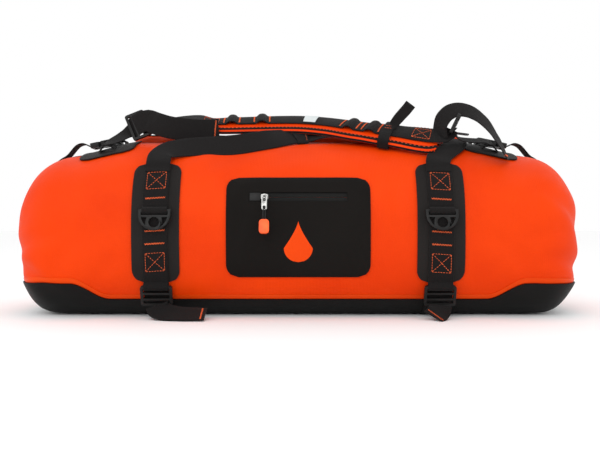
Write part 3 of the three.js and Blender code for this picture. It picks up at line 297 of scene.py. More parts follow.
def add_node(material, kind, given, **settings):
    """A node of a material. Each input is given a value, or another node's output that feeds it."""
    node = material.node_tree.nodes.new("ShaderNode" + kind)
    for setting, value in settings.items():
        setattr(node, setting, value)
    for socket, value in given.items():
        if isinstance(value, bpy.types.NodeSocket):
            material.node_tree.links.new(value, node.inputs[socket])
        else:
            node.inputs[socket].default_value = value
    return node


def feed_shader(material, **outputs):
    shader = material.node_tree.nodes["Principled BSDF"]
    for socket, output in outputs.items():
        material.node_tree.links.new(output, shader.inputs[socket.replace("_", " ")])
    return shader


def coated_cloth(name, colour, shade_colour, roughness, weave, pitch, shine=0.2):
    """Woven cloth under a rubbery coating: the yarns show through as fine squares, and the sheen wanders."""
    m = bpy.data.materials.new(name)
    m.use_nodes = True
    place = add_node(m, "TexCoord", {})
    spread = add_node(m, "TexNoise", {"Scale": 7, "Detail": 5, "Vector": place.outputs["Object"]})
    ramp = add_node(m, "MapRange", {"From Min": 0.35, "From Max": 0.7, "Value": spread.outputs["Fac"]})
    tint = add_node(m, "Mix", {"A": (*colour, 1), "B": (*shade_colour, 1), "Factor": ramp.outputs["Result"]},
        data_type="RGBA")
    yarns = [
        add_node(m, "TexWave", {"Scale": 2 * math.pi / pitch / 20, "Distortion": 0.6, "Detail": 1,
            "Detail Scale": 3, "Vector": place.outputs["UV"]}, bands_direction=direction)
        for direction in ("X", "Y")
    ]
    cross = add_node(m, "Math", {0: yarns[0].outputs["Fac"], 1: yarns[1].outputs["Fac"]},
        operation="MULTIPLY")
    grain = add_node(m, "TexNoise", {"Scale": 900, "Detail": 3, "Vector": place.outputs["Object"]})
    lumps = add_node(m, "Math", {0: grain.outputs["Fac"], 1: 0.5, 2: cross.outputs["Value"]},
        operation="MULTIPLY_ADD")
    bump = add_node(m, "Bump", {"Strength": weave, "Distance": 0.0006, "Height": lumps.outputs["Value"]})
    gloss = add_node(m, "MapRange", {"To Min": roughness - 0.07, "To Max": roughness + 0.09,
        "Value": spread.outputs["Fac"]})
    shader = feed_shader(m, Base_Color=tint.outputs["Result"], Normal=bump.outputs["Normal"],
        Roughness=gloss.outputs["Result"])
    shader.inputs["Specular IOR Level"].default_value = shine
    return m


orange_cloth = coated_cloth("orange_coated_cloth", (0.80, 0.050, 0.0), (0.70, 0.037, 0.0), 0.5, weave=0.4,
    pitch=0.0022, shine=0.09)
shell = table_grid("bag_shell", (-END_ARC, END_ARC), (-HALF_GIRTH, HALF_GIRTH), 0.0055, 0.0062)
ZIP_HALF, ZIP_SLOT, SHELL_THICK = 0.262, 0.022, 0.0016
cut_out(shell, lambda x, y: abs(x) < ZIP_HALF and abs(y) < ZIP_SLOT)
mark_cloth(shell)
lay(shell, on_skin)
close_seam(shell, 0.00005)
give_wall(shell, SHELL_THICK, -1)
shell.data.materials.append(orange_cloth)
smooth(shell, 60)
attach(shell, "bag")
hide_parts("body_tube", "end_panel_left", "end_panel_right")

# The boot is a thick black coated panel, welded under the bag and up its sides. Its edge runs low along
# the middle and steps up before each end.
BOOT_MID, BOOT_END, STEP_START, STEP_END = 0.029, 0.054, 0.294, 0.352
BOOT_THICK, BOOT_SEAT, END_STAND = 0.0019, 0.0008, 0.0005
black_cloth = coated_cloth("black_coated_cloth", (0.0060, 0.0058, 0.0056), (0.0085, 0.0081, 0.0078), 0.47,
    weave=0.5, pitch=0.0012, shine=0.09)


def boot_edge(u):
    """Girth of the boot's edge. It keeps its height as it goes round the end."""
    stations, place = np.unique(np.round(np.abs(u), 6), return_inverse=True)
    wanted = BOOT_MID + (BOOT_END - BOOT_MID) * ease((stations - STEP_START) / (STEP_END - STEP_START))
    girth = np.linspace(0, HALF_GIRTH, 700)
    edge = [np.interp(-z, -bare_skin(np.full(700, x), girth)[:, 2], girth) for x, z in zip(stations, wanted)]
    return np.array(edge)[place]


def boot_way(co):
    """y runs from the front edge, -1, under the base to the back edge, 1."""
    edge = boot_edge(co[:, 0])
    g = HALF_GIRTH + co[:, 1] * (HALF_GIRTH - edge)
    stand = END_STAND * ease((np.abs(co[:, 0]) - STRAIGHT) / 0.03)
    return on_skin(np.stack([co[:, 0], g, co[:, 2] + stand], -1))


def fit(piece, finish, degrees, body, slot, *nodes):
    """Finishes a laid piece: material, shading, the body it rides on and the nodes it stands for."""
    face_out(piece)
    piece.data.materials.append(finish)
    smooth(piece, degrees)
    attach(piece, body)
    if nodes:
        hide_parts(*nodes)


round_end = np.linspace(STRAIGHT, END_ARC, 2000)
BOOT_REACH = float(np.interp(BOOT_END - END_STAND,
    bare_skin(round_end, np.full(2000, HALF_GIRTH))[:, 2], round_end))
boot = table_grid("base_boot", (-BOOT_REACH, BOOT_REACH), (-1, 1), 0.0045, 0.022)
mark_cloth(boot)
for corner in boot.data.uv_layers.active.data:
    corner.uv.y *= HALF_GIRTH - girth_at(BOOT_MID)
give_wall(boot, BOOT_THICK)
lay(boot, lambda co: boot_way(co + [0, 0, BOOT_SEAT]))
fit(boot, black_cloth, 40, "bag", "coated_fabric_black", "base_panel")

# A narrow tape covers the seam where the boot is welded to the tube. It is thin orange coated cloth, sealed
# down along the boot's edge, front and back.
TAPE_FROM, TAPE_TO, TAPE_THICK, TAPE_SEAT = -0.0095, -0.0015, 0.0005, 0.0003


def tape_way(co):
    side = np.sign(co[:, 1])
    down = boot_edge(co[:, 0]) + TAPE_FROM + (TAPE_TO - TAPE_FROM) * (np.abs(co[:, 1]) - 1)
    return on_skin(np.stack([co[:, 0], side * down, co[:, 2]], -1))


seam_cloth = coated_cloth("seam_tape_cloth", (0.78, 0.060, 0.001), (0.70, 0.048, 0.001), 0.42, weave=0.1,
    pitch=0.004, shine=0.1)
for face, way_side in (("front", 1), ("back", -1)):
    tape = table_grid("seam_tape_" + face, (-BOOT_REACH, BOOT_REACH), (1, 2), 0.006, 0.34)
    mark_cloth(tape)
    give_wall(tape, TAPE_THICK)
    lay(tape, lambda co: tape_way(co * [1, way_side, 1] + [0, 0, TAPE_SEAT]))
    fit(tape, seam_cloth, 40, "bag", "coated_fabric_orange")

# The stiffening board lies inside the base, out of sight. It is a moulded black sheet with a fine grain,
# and its edges are eased as the mould leaves them.


def moulded(name, colour, roughness, grain=1600, bump_depth=0.00006, metallic=0.0, shine=0.3):
    """Moulded or cast stuff: a fine grain in its surface and a gloss that wanders with handling."""
    m = bpy.data.materials.new(name)
    m.use_nodes = True
    place = add_node(m, "TexCoord", {})
    fine = add_node(m, "TexNoise", {"Scale": grain, "Detail": 2, "Vector": place.outputs["Object"]})
    broad = add_node(m, "TexNoise", {"Scale": 45, "Detail": 4, "Vector": place.outputs["Object"]})
    rubbed = add_node(m, "MapRange", {"From Min": 0.48, "From Max": 0.75, "Value": broad.outputs["Fac"]})
    tint = add_node(m, "Mix", {"A": (*colour, 1), "B": (*[c * 1.5 + 0.004 for c in colour], 1),
        "Factor": rubbed.outputs["Result"]}, data_type="RGBA")
    gloss = add_node(m, "MapRange", {"To Min": roughness - 0.08, "To Max": roughness + 0.08,
        "Value": broad.outputs["Fac"]})
    bump = add_node(m, "Bump", {"Strength": 0.3, "Distance": bump_depth, "Height": fine.outputs["Fac"]})
    shader = feed_shader(m, Base_Color=tint.outputs["Result"], Roughness=gloss.outputs["Result"],
        Normal=bump.outputs["Normal"])
    shader.inputs["Metallic"].default_value = metallic
    shader.inputs["Specular IOR Level"].default_value = shine
    return m


def refined(node, name, body, finish, bevel=0.0006):
    """The CAD piece with its edges eased as a mould leaves them."""
    obj = bpy.data.objects.new(name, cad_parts[node].data.copy())
    obj.data.name = name
    bpy.context.collection.objects.link(obj)
    obj.data.materials.clear()
    obj.data.materials.append(finish)
    edit(obj)
    bpy.ops.mesh.remove_doubles(threshold=0.00001)
    bpy.ops.mesh.tris_convert_to_quads(face_threshold=math.radians(1), shape_threshold=math.radians(60))
    done()
    finish_with(obj,
        ("BEVEL", {"width": bevel, "segments": 2, "limit_method": "ANGLE", "angle_limit": math.radians(35)}))
    smooth(obj, 40)
    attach(obj, body)
    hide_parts(node)


board_stuff = moulded("board_black", (0.022, 0.022, 0.025), 0.6, grain=700)
refined("base_board", "base_stiffener", "bag", board_stuff)

# Four strap pads of black coated cloth are welded to the tube. Each has a slightly raised rim, and carries
# a double layer of webbing with box-and-cross stitching, a loop for the D-ring and one for the ladder lock.
WEB, WEB_THICK, WEB_EDGE = 0.038, 0.0015, 0.0004
PAD_X, PAD_WIDE, PAD_CORNER, PAD_THICK = 0.218, 0.073, 0.020, 0.0020
PAD_TOP, PAD_FOOT = girth_at(0.239), girth_at(0.056)
PAD_LIFT, WEB_SEAT = 0.0004, 0.0028
RING_GIRTH, LOCK_GIRTH = girth_at(0.165), PAD_FOOT + 0.004
RING_TUNNEL, LOCK_TUNNEL = 0.0033, 0.0039


def snap_lines(cloth, axis, values):
    """Moves the nearest rows (1) or columns (0) of a table grid onto the given lines."""
    co = points_of(cloth)
    for value in values:
        lines = np.unique(np.round(co[:, axis], 6))
        nearest = lines[np.argmin(np.abs(lines - value))]
        co[np.abs(co[:, axis] - nearest) < 2e-6, axis] = value
    set_points(cloth, co)


def cut_panel(name, x_range, y_range, pitch, corner, rim=0.0006, rim_width=0.0046):
    """A panel with round corners, whose border stands a little proud where it is welded."""
    cloth = table_grid(name, x_range, y_range, pitch, pitch)
    near = corner * 0.25
    snap_lines(cloth, 1, [y_range[0] + near, y_range[1] - near])
    co = points_of(cloth)
    middle, half = (x_range[0] + x_range[1]) / 2, (x_range[1] - x_range[0]) / 2
    into = np.minimum(co[:, 1] - y_range[0], y_range[1] - co[:, 1])
    aside = half - np.abs(co[:, 0] - middle)
    width = half - corner + np.sqrt(np.maximum(corner**2 - np.maximum(corner - into, 0) ** 2, 0))
    co[:, 0] = middle + (co[:, 0] - middle) * width / half
    co[:, 2] += np.where(np.minimum(into, aside) < rim_width, rim, 0)
    set_points(cloth, co)
    mark_cloth(cloth)
    return cloth


def thicken(cloth, thick, bevel=0.0005):
    give_wall(cloth, thick)
    return finish_with(cloth,
        ("BEVEL", {"width": bevel, "segments": 2, "limit_method": "ANGLE", "angle_limit": math.radians(50)}))


def webbing_cloth(name, colour, pitch=0.0021, roughness=0.78):
    """Narrow woven strap: ribs run across it and small yarns cross them."""
    m = coated_cloth(name, colour, [c * 1.45 for c in colour], roughness, weave=0.85, pitch=pitch)
    shader = m.node_tree.nodes["Principled BSDF"]
    shader.inputs["Sheen Weight"].default_value = 0.04
    shader.inputs["Specular IOR Level"].default_value = 0.14
    return m


STITCH, THREAD_UP = (0.0036, 0.00075, 0.0007), 0.0003


def sew(name, lines, way, height, body, thread, pitch=0.0042):
    """Stitches along lines on the table. One is modelled and copied, and all are laid with their piece."""
    bpy.ops.object.select_all(action="DESELECT")
    bpy.ops.mesh.primitive_ico_sphere_add(subdivisions=1, radius=0.5)
    one = bpy.context.object
    edit(one)
    bpy.ops.transform.resize(value=STITCH)
    done()
    shape = points_of(one)
    faces = np.array([list(f.vertices) for f in one.data.polygons])
    spots = []
    for line in lines:
        for (x0, y0), (x1, y1) in zip(line, line[1:]):
            run = math.hypot(x1 - x0, y1 - y0)
            count = max(1, round(run / pitch))
            for i in range(count):
                t = (i + 0.5) / count
                spots.append((x0 + (x1 - x0) * t, y0 + (y1 - y0) * t, math.atan2(y1 - y0, x1 - x0)))
    co, corners = [], []
    for i, (x, y, turn) in enumerate(spots):
        c, s = math.cos(turn), math.sin(turn)
        co.append(np.stack([x + shape[:, 0] * c - shape[:, 1] * s, y + shape[:, 0] * s + shape[:, 1] * c,
            shape[:, 2] + height], -1))
        corners.append(faces + i * len(shape))
    bpy.data.objects.remove(one)
    sewn = bpy.data.objects.new(name, bpy.data.meshes.new(name))
    sewn.data.from_pydata(np.concatenate(co).tolist(), [], np.concatenate(corners).tolist())
    bpy.context.collection.objects.link(sewn)
    lay(sewn, way)
    face_out(sewn)
    sewn.data.materials.append(thread)
    smooth(sewn, 80)
    if body:
        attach(sewn, body)
    return sewn


def box_and_cross(x, y0, y1, half=0.0145, lean=0.0):
    a, b, c, d = (x - half, y0), (x + half, y0 + lean), (x + half, y1 + lean), (x - half, y1)
    return [[a, b, c, d, a], [a, c], [b, d]]


def bartack(x, y, half=0.015, tall=0.0014, lean=0.0):
    points = []
    for i in range(25):
        t = i / 24
        points.append((x - half + 2 * half * t, y + lean * t + tall * (1 if i % 2 else -1)))
    return [points]


black_web = webbing_cloth("webbing_black", (0.0058, 0.0048, 0.0047))
pad_cloth = coated_cloth("pad_cloth", (0.0128, 0.0106, 0.0100), (0.0165, 0.0140, 0.0130), 0.54, weave=0.75,
    pitch=0.0016, shine=0.12)
orange_thread = moulded("orange_thread", (0.80, 0.125, 0.03), 0.6, grain=2500, bump_depth=0.0001)
black_plastic = moulded("moulded_plastic_black", (0.0095, 0.0092, 0.0090), 0.42, shine=0.2)
bright_metal = moulded("zip_metal", (0.30, 0.30, 0.29), 0.24, grain=900, metallic=1.0)


def plastic_part(node, name, body, bevel=0.0008):
    refined(node, name, body, black_plastic, bevel)


def hump(y, middle, radius, raised):
    """Height of a webbing loop over a bar."""
    off = np.abs(y - middle) / radius
    return np.interp(off, [0, 0.4, 0.8, 1.1, 1.4, 1.7],
        [2 * raised, 1.94 * raised, 1.6 * raised, 0.85 * raised, 0.2 * raised, 0])


for side, sx in (("left", -1), ("right", 1)):
    for face, sf in (("front", 1), ("back", -1)):
        def way(co):
            return on_skin(co * [1, sf, 1])

        x = sx * PAD_X
        pad = cut_panel(f"pad_{face}_{side}", (x - PAD_WIDE / 2, x + PAD_WIDE / 2), (PAD_TOP, PAD_FOOT),
            0.00405, PAD_CORNER)
        thicken(pad, PAD_THICK)
        lay(pad, lambda co: way(co + [0, 0, PAD_LIFT]))
        fit(pad, pad_cloth, 45, "bag", "coated_fabric_black", f"strap_pad_{face}_{side}")
        top, foot = PAD_TOP + 0.006, LOCK_GIRTH + 1.7 * LOCK_TUNNEL
        for layer in ("under", "over"):
            web = table_grid(f"webbing_{layer}_{face}_{side}", (x - WEB / 2, x + WEB / 2), (top, foot),
                WEB / 8, 0.0011)
            mark_cloth(web)
            if layer == "over":
                co = points_of(web)
                lift = (hump(co[:, 1], RING_GIRTH, RING_TUNNEL, RING_TUNNEL)
                    + hump(co[:, 1], LOCK_GIRTH, LOCK_TUNNEL, LOCK_TUNNEL))
                co[:, 2] += WEB_THICK + lift + 0.0002
                set_points(web, co)
            thicken(web, WEB_THICK, WEB_EDGE)
            lay(web, lambda co: way(co + [0, 0, WEB_SEAT]))
            nodes = [f"daisy_webbing_{face}_{side}"] if layer == "over" else []
            fit(web, black_web, 45, "bag", "webbing_black", *nodes)
        lean = 0.0018 * sx
        lines = box_and_cross(x, girth_at(0.222), girth_at(0.197), lean=lean)
        lines += box_and_cross(x, girth_at(0.101), girth_at(0.074), lean=lean)
        for z in (0.183, 0.1345, 0.115):
            lines += bartack(x, girth_at(z), lean=lean)
        sew(f"pad_stitches_{face}_{side}", lines, way, WEB_SEAT + 2 * WEB_THICK + THREAD_UP, "bag",
            orange_thread)
        plastic_part(f"d_ring_{face}_{side}", f"ring_{face}_{side}_moulded", f"ring_{face}_{side}")
        plastic_part(f"side_lock_{face}_{side}", f"lock_{face}_{side}_moulded", f"lock_{face}_{side}")

# A strap runs under the bag from each back lock to the front one, in a channel in the base's foam. It comes
# up through the lock's lower slot. Its free tail lies on the ground in front, hemmed with orange thread.
STRAP_LOW, STRAP_HIGH, STRAP_OVER, STRAP_RAMP = 0.0031, 0.0062, 0.0015, 0.016
for side, sx in (("left", -1), ("right", 1)):
    start = girth_at(0.0445)
    strap = table_grid(f"base_webbing_{side}",
        (sx * PAD_X - WEB / 2 - STRAP_OVER, sx * PAD_X + WEB / 2 + STRAP_OVER),
        (start, 2 * HALF_GIRTH - start), WEB / 6, 0.004)
    mark_cloth(strap)
    co = points_of(strap)
    from_end = np.minimum(co[:, 1] - start, 2 * HALF_GIRTH - start - co[:, 1])
    co[:, 2] += STRAP_LOW + (STRAP_HIGH - STRAP_LOW) * ease(1 - np.abs(from_end - STRAP_RAMP) / STRAP_RAMP)
    set_points(strap, co)
    thicken(strap, WEB_THICK, WEB_EDGE)
    lay(strap, lambda co: on_skin(co, 0))
    fit(strap, black_web, 45, "bag", "webbing_black", f"base_strap_{side}")


def strap_path(points, faces):
    """A smooth line through points, and how it faces. Gives the way to lay a strap on it and its length."""
    p, f = np.array(points, float), np.array(faces, float)
    knot = np.concatenate([[0], np.cumsum(np.linalg.norm(np.diff(p, axis=0), axis=1) ** 0.5)])
    gap = np.diff(knot)[:, None]
    slope = np.diff(p, axis=0) / gap
    tangent = np.concatenate(
        [slope[:1], (slope[:-1] * gap[1:] + slope[1:] * gap[:-1]) / (gap[:-1] + gap[1:]), slope[-1:]])
    t = np.linspace(0, knot[-1], 900)
    i = np.clip(np.searchsorted(knot, t, side="right") - 1, 0, len(p) - 2)
    w, h = ((t - knot[i]) / gap[i, 0])[:, None], gap[i]
    line = ((2 * w**3 - 3 * w**2 + 1) * p[i] + (w**3 - 2 * w**2 + w) * h * tangent[i]
        + (3 * w**2 - 2 * w**3) * p[i + 1] + (w**3 - w**2) * h * tangent[i + 1])
    facing = f[i] + (f[i + 1] - f[i]) * w * w * (3 - 2 * w)
    run = np.concatenate([[0], np.cumsum(np.linalg.norm(np.diff(line, axis=0), axis=1))])
    ahead = np.gradient(line, run, axis=0)

    def way(co):
        s = co[:, 1]
        at = np.stack([np.interp(s, run, line[:, k]) for k in range(3)], -1)
        along = np.stack([np.interp(s, run, ahead[:, k]) for k in range(3)], -1)
        along /= np.linalg.norm(along, axis=1, keepdims=True)
        look = np.stack([np.interp(s, run, facing[:, k]) for k in range(3)], -1)
        across = np.cross(look, along)
        across /= np.linalg.norm(across, axis=1, keepdims=True)
        out = np.cross(along, across)
        past = (s - np.clip(s, 0, run[-1]))[:, None]
        return at + along * past + across * co[:, :1] + out * co[:, 2:]

    return way, run[-1], line, run


def cut_webbing(name, length, wide=WEB, thick=WEB_THICK, pitch=0.0035, shape=None):
    """Webbing on the table with its middle line on x = 0 and its middle layer on z = 0."""
    web = table_grid(name, (-wide / 2, wide / 2), (0, length), wide / 6, pitch)
    mark_cloth(web)
    co = points_of(web)
    co[:, 2] -= thick / 2
    if shape:
        co[:, 2] += shape(co[:, 1])
    set_points(web, co)
    thicken(web, thick, WEB_EDGE)
    web.data.materials.append(black_web)
    return web


def run_webbing(web, way, body=None, *nodes):
    """Lays cut webbing along its way."""
    lay(web, way)
    face_out(web)
    smooth(web, 45)
    if body:
        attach(web, body)
    if nodes:
        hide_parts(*nodes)
    return web


def strap_along(name, points, faces, body, *nodes, wide=WEB, pitch=0.0035):
    """Webbing cut to a path through points and laid on it. Gives the webbing, its way and its length."""
    way, length, _, _ = strap_path(points, faces)
    return run_webbing(cut_webbing(name, length, wide, pitch=pitch), way, body, *nodes), way, length


GROUND_WEB = 0.034
tails = {
    "left": [(-0.2165, -0.156, 0.0215), (-0.214, -0.160, 0.0165), (-0.203, -0.1655, 0.012),
        (-0.178, -0.1705, 0.0097), (-0.140, -0.172, 0.0095)],
    "right": [(0.2175, -0.156, 0.0215), (0.2165, -0.160, 0.0165), (0.213, -0.166, 0.012),
        (0.208, -0.172, 0.0085), (0.202, -0.177, 0.0065)],
}
tail_faces = {
    "left": [(0, -0.9, 0.45), (0.05, -0.85, 0.5), (0.1, -0.65, 0.72), (0, -0.5, 0.86), (0, -0.43, 0.9)],
    "right": [(0, -0.9, 0.45), (0, -0.85, 0.5), (0.1, -0.75, 0.65), (0.1, -0.6, 0.78), (0, -0.5, 0.87)],
}
for side, points in tails.items():
    _, way, length = strap_along(f"ground_tail_{side}", points, tail_faces[side], "bag",
        f"base_strap_tail_{side}", wide=GROUND_WEB)
    sew(f"ground_tail_hem_{side}", bartack(0, length - 0.006, 0.0145), way, 0.0011, "bag", orange_thread)

# The front pocket is a black coated panel welded round its border, with a slot for its zip. It stands a
# little off the tube inside its border, and is slack at its two sides.
POCKET_HALF, POCKET_CORNER = 0.110, 0.019
POCKET_TOP, POCKET_FOOT = girth_at(0.216), girth_at(0.065)
SLOT_HALF, SLOT_TOP, SLOT_FOOT = 0.075, girth_at(0.1925), girth_at(0.1795)
PUFF, POCKET_THICK = 0.0025, 0.0020
pocket = cut_panel("pocket_face", (-POCKET_HALF, POCKET_HALF), (POCKET_TOP, POCKET_FOOT), 0.0045,
    POCKET_CORNER, 0.0, 0.0)
snap_lines(pocket, 0, [-SLOT_HALF, SLOT_HALF])
snap_lines(pocket, 1, [SLOT_TOP, SLOT_FOOT])
cut_out(pocket, lambda x, y: abs(x) < SLOT_HALF and SLOT_TOP < y < SLOT_FOOT)
mark_cloth(pocket)


def pocket_rise(x, y):
    """How far the panel stands off the tube: welded down at its border, full inside, slack at its sides."""
    aside = np.minimum(POCKET_HALF - np.abs(x), np.minimum(y - POCKET_TOP, POCKET_FOOT - y))
    rise = 0.0004 + (PUFF - 0.0004) * ease(aside / 0.010)
    rim = 0.0006 * np.exp(-(((aside - 0.003) / 0.0022) ** 2))
    slack = (0.0022 * np.exp(-(((np.abs(x) - 0.088) / 0.012) ** 2)) * ease(aside / 0.02)
        * np.sin(y * 55 + x * 20))
    return rise + rim + slack


co = points_of(pocket)
co[:, 2] += pocket_rise(co[:, 0], co[:, 1])
set_points(pocket, co)
thicken(pocket, POCKET_THICK)
lay(pocket, on_skin)
pocket_cloth = coated_cloth("pocket_cloth", (0.0065, 0.0052, 0.0045), (0.0090, 0.0074, 0.0064), 0.54,
    weave=0.75, pitch=0.0016, shine=0.07)
fit(pocket, pocket_cloth, 45, "bag", "coated_fabric_black", "pocket_panel")

# The print is a plain water drop in orange ink, a pointed neck over a round bulb. It lies on the panel's full
# part, under the zip.
DROP_TALL, DROP_WIDE, DROP_MIDDLE = 0.062, 0.044, girth_at(0.119)
NECK_LONG, BULB_LONG = 0.66, 0.34
drop = table_grid("pocket_drop_print", (-1, 1), (0, 1), 0.1, 0.025)
co = points_of(drop)
t = co[:, 1].copy()
bulb = np.sqrt(np.maximum(1 - ((t - NECK_LONG) / BULB_LONG) ** 2, 0))
neck = (t / NECK_LONG) ** 1.35
co[:, 0] *= DROP_WIDE / 2 * np.where(t > NECK_LONG, bulb, neck)
co[:, 1] = DROP_MIDDLE + (t - 0.5) * DROP_TALL
set_points(drop, co)
edit(drop)
bpy.ops.mesh.remove_doubles(threshold=0.00005)
done()
mark_cloth(drop)
give_wall(drop, 0.0002)
lay(drop, lambda co: on_skin(co + [0, 0, PUFF + POCKET_THICK + 0.0001]))
drop_print = coated_cloth("print_orange", (0.80, 0.062, 0.001), (0.74, 0.052, 0.001), 0.5, weave=0.3,
    pitch=0.0016, shine=0.1)
fit(drop, drop_print, 60, "bag", "coated_fabric_orange")

# The pocket's zip has two narrow coated tapes that meet over the slot, and a moulded hood for the slider to
# park in. Slider and puller are cast, and the grip is a moulded rubber tab.
zip_cloth = webbing_cloth("zip_tape_black", (0.009, 0.009, 0.0085), pitch=0.0009, roughness=0.7)
zip_teeth = moulded("zip_teeth_black", (0.02, 0.02, 0.02), 0.35)
SLOT_MIDDLE = (SLOT_TOP + SLOT_FOOT) / 2
for name, (y0, y1) in {
    "upper": (SLOT_TOP - 0.005, SLOT_MIDDLE - 0.0001),
    "lower": (SLOT_MIDDLE + 0.0001, SLOT_FOOT + 0.005),
}.items():
    tape = table_grid("pocket_tape_" + name, (-SLOT_HALF - 0.005, SLOT_HALF + 0.005), (y0, y1), 0.004,
        0.0013)
    mark_cloth(tape)
    co = points_of(tape)
    edge = np.minimum(np.abs(co[:, 1] - (y1 if name == "upper" else y0)) / 0.0025, 1)
    co[:, 2] += 0.0009 + 0.0004 * (1 - edge)
    set_points(tape, co)
    thicken(tape, 0.0010, 0.0003)
    lay(tape, on_skin)
    fit(tape, zip_cloth, 45, "bag", "zip_tape_black", "pocket_zip_tape_" + name)
plastic_part("pocket_zip_garage", "pocket_zip_hood", "bag", 0.0004)
refined("pocket_zip_slider", "pocket_slider_cast", "pocket_slider", bright_metal, 0.0004)
refined("pocket_zip_pull", "pocket_puller_cast", "pocket_pull", bright_metal, 0.0003)
orange_rubber = moulded("rubber_orange", (0.88, 0.10, 0.018), 0.42, grain=1200)
refined("pocket_pull_tab", "pocket_pull_grip", "pocket_pull", orange_rubber, 0.0011)

# The tab hangs from the puller on a loop of thin round cord, threaded through the puller's eye. Both its ends
# are moulded into the tab.
CORD, PIN_X, PIN_RISE = 0.0016, -0.0515, 0.0087
pin, outside = on_skin([[PIN_X, SLOT_MIDDLE, PIN_RISE], [PIN_X, SLOT_MIDDLE, PIN_RISE + 0.001]], 0)
out = Vector(outside - pin).normalized()
up = out.cross(Vector((1, 0, 0))).normalized()
TILT = -0.06
up, out = up * math.cos(TILT) + out * math.sin(TILT), out * math.cos(TILT) - up * math.sin(TILT)
half_loop = [(0.0016, -0.0376, 0), (0.0017, -0.0278, 0.0008), (0.0015, -0.0232, 0.0022),
    (0.0009, -0.0198, 0.0029)]
loop = [(-x, y, z) for x, y, z in half_loop] + half_loop[::-1]
loop = [Vector(pin) + Vector((x, 0, 0)) + up * y + out * z for x, y, z in loop]
_, cord_length, cord_line, cord_run = strap_path(loop, [tuple(out)] * len(loop))
stations = [
    [float(np.interp(s, cord_run, cord_line[:, k])) for k in range(3)]
    for s in np.linspace(0, cord_length, 34)
]
bpy.ops.object.select_all(action="DESELECT")
bpy.ops.curve.primitive_nurbs_path_add()
pull_cord = bpy.context.object
pull_cord.name = "pocket_pull_cord_loop"
pull_cord.data.splines.clear()
line = pull_cord.data.splines.new("POLY")
line.points.add(len(stations) - 1)
for point, place in zip(line.points, stations):
    point.co = (*place, 1)
pull_cord.data.bevel_depth = CORD / 2
pull_cord.data.bevel_resolution = 3
pull_cord.data.use_fill_caps = True
pull_cord.location = (0, 0, 0)
cord_cloth = moulded("cord_black", (0.012, 0.012, 0.012), 0.7, grain=2200, bump_depth=0.0002)
pull_cord.data.materials.append(cord_cloth)
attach(pull_cord, "pocket_pull")
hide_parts("pocket_pull_cord")

# The top opening stands up on a welded orange gusset. It is a ring of the tube's cloth that leans in to the
# zip on its way up, and is a little full between its seams.
RIDGE_TOP, RIDGE_END, RIDGE_FOOT, RIDGE_HALF, RIDGE_CORNER = 0.298, 0.285, 0.030, 0.017, 0.014
RIDGE_LEAN, RIDGE_FULL, RIDGE_WALL = 0.008, 0.0016, 0.0018


def racetrack(s, half_long, half_wide):
    """Goes once round the opening as s goes from 0 to 1, anticlockwise from the middle of the front."""
    straight, side, turn = half_long - RIDGE_CORNER, half_wide - RIDGE_CORNER, RIDGE_CORNER * math.pi / 2
    legs = [("run", straight), ("turn", turn), ("side", 2 * side), ("turn", turn), ("run", 2 * straight),
        ("turn", turn), ("side", 2 * side), ("turn", turn), ("run", straight)]
    total = sum(length for _, length in legs)
    x, y, heading, walked = 0.0, half_wide, 0.0, 0.0
    track = [(0.0, x, y)]
    for kind, length in legs:
        steps = 10 if kind == "turn" else 24
        for _ in range(steps):
            if kind == "turn":
                heading -= math.pi / 2 / steps / 2
            x += math.cos(heading) * length / steps
            y += math.sin(heading) * length / steps
            walked += length / steps
            if kind == "turn":
                heading -= math.pi / 2 / steps / 2
            track.append((walked / total, x, y))
    track = np.array(track)
    return np.interp(s, track[:, 0], track[:, 1]), np.interp(s, track[:, 0], track[:, 2])


gusset = table_grid("zip_gusset_wall", (0, 1), (0, 1), 1 / 220, 1 / 7)
co = points_of(gusset)
round_run, climb = co[:, 0].copy(), co[:, 1].copy()
foot_u, foot_g = racetrack(round_run, RIDGE_END, RIDGE_FOOT)
top_u, top_g = racetrack(round_run, RIDGE_END - RIDGE_LEAN, RIDGE_HALF)
foot = on_skin(np.stack([foot_u, foot_g, np.full(len(co), 0.0008)], -1))
top = np.stack([top_u, -top_g, np.full(len(co), RIDGE_TOP - 0.0012)], -1)
co = foot + (top - foot) * climb[:, None]
belly = RIDGE_FULL * np.sin(math.pi * climb) * (0.4 + 0.6 * np.sin(round_run * 90) ** 2)
co[:, 1] -= belly * np.sign(foot_g)
co[:, 2] += belly
set_points(gusset, co)
for corner, loop_corner in zip(gusset.data.uv_layers.active.data, gusset.data.loops):
    point = loop_corner.vertex_index
    corner.uv = (round_run[point] * 1.2, climb[point] * 0.02)
close_seam(gusset, 0.00005)
give_wall(gusset, RIDGE_WALL, -1)
fit(gusset, orange_cloth, 60, "bag", "coated_fabric_orange", "zip_gusset")

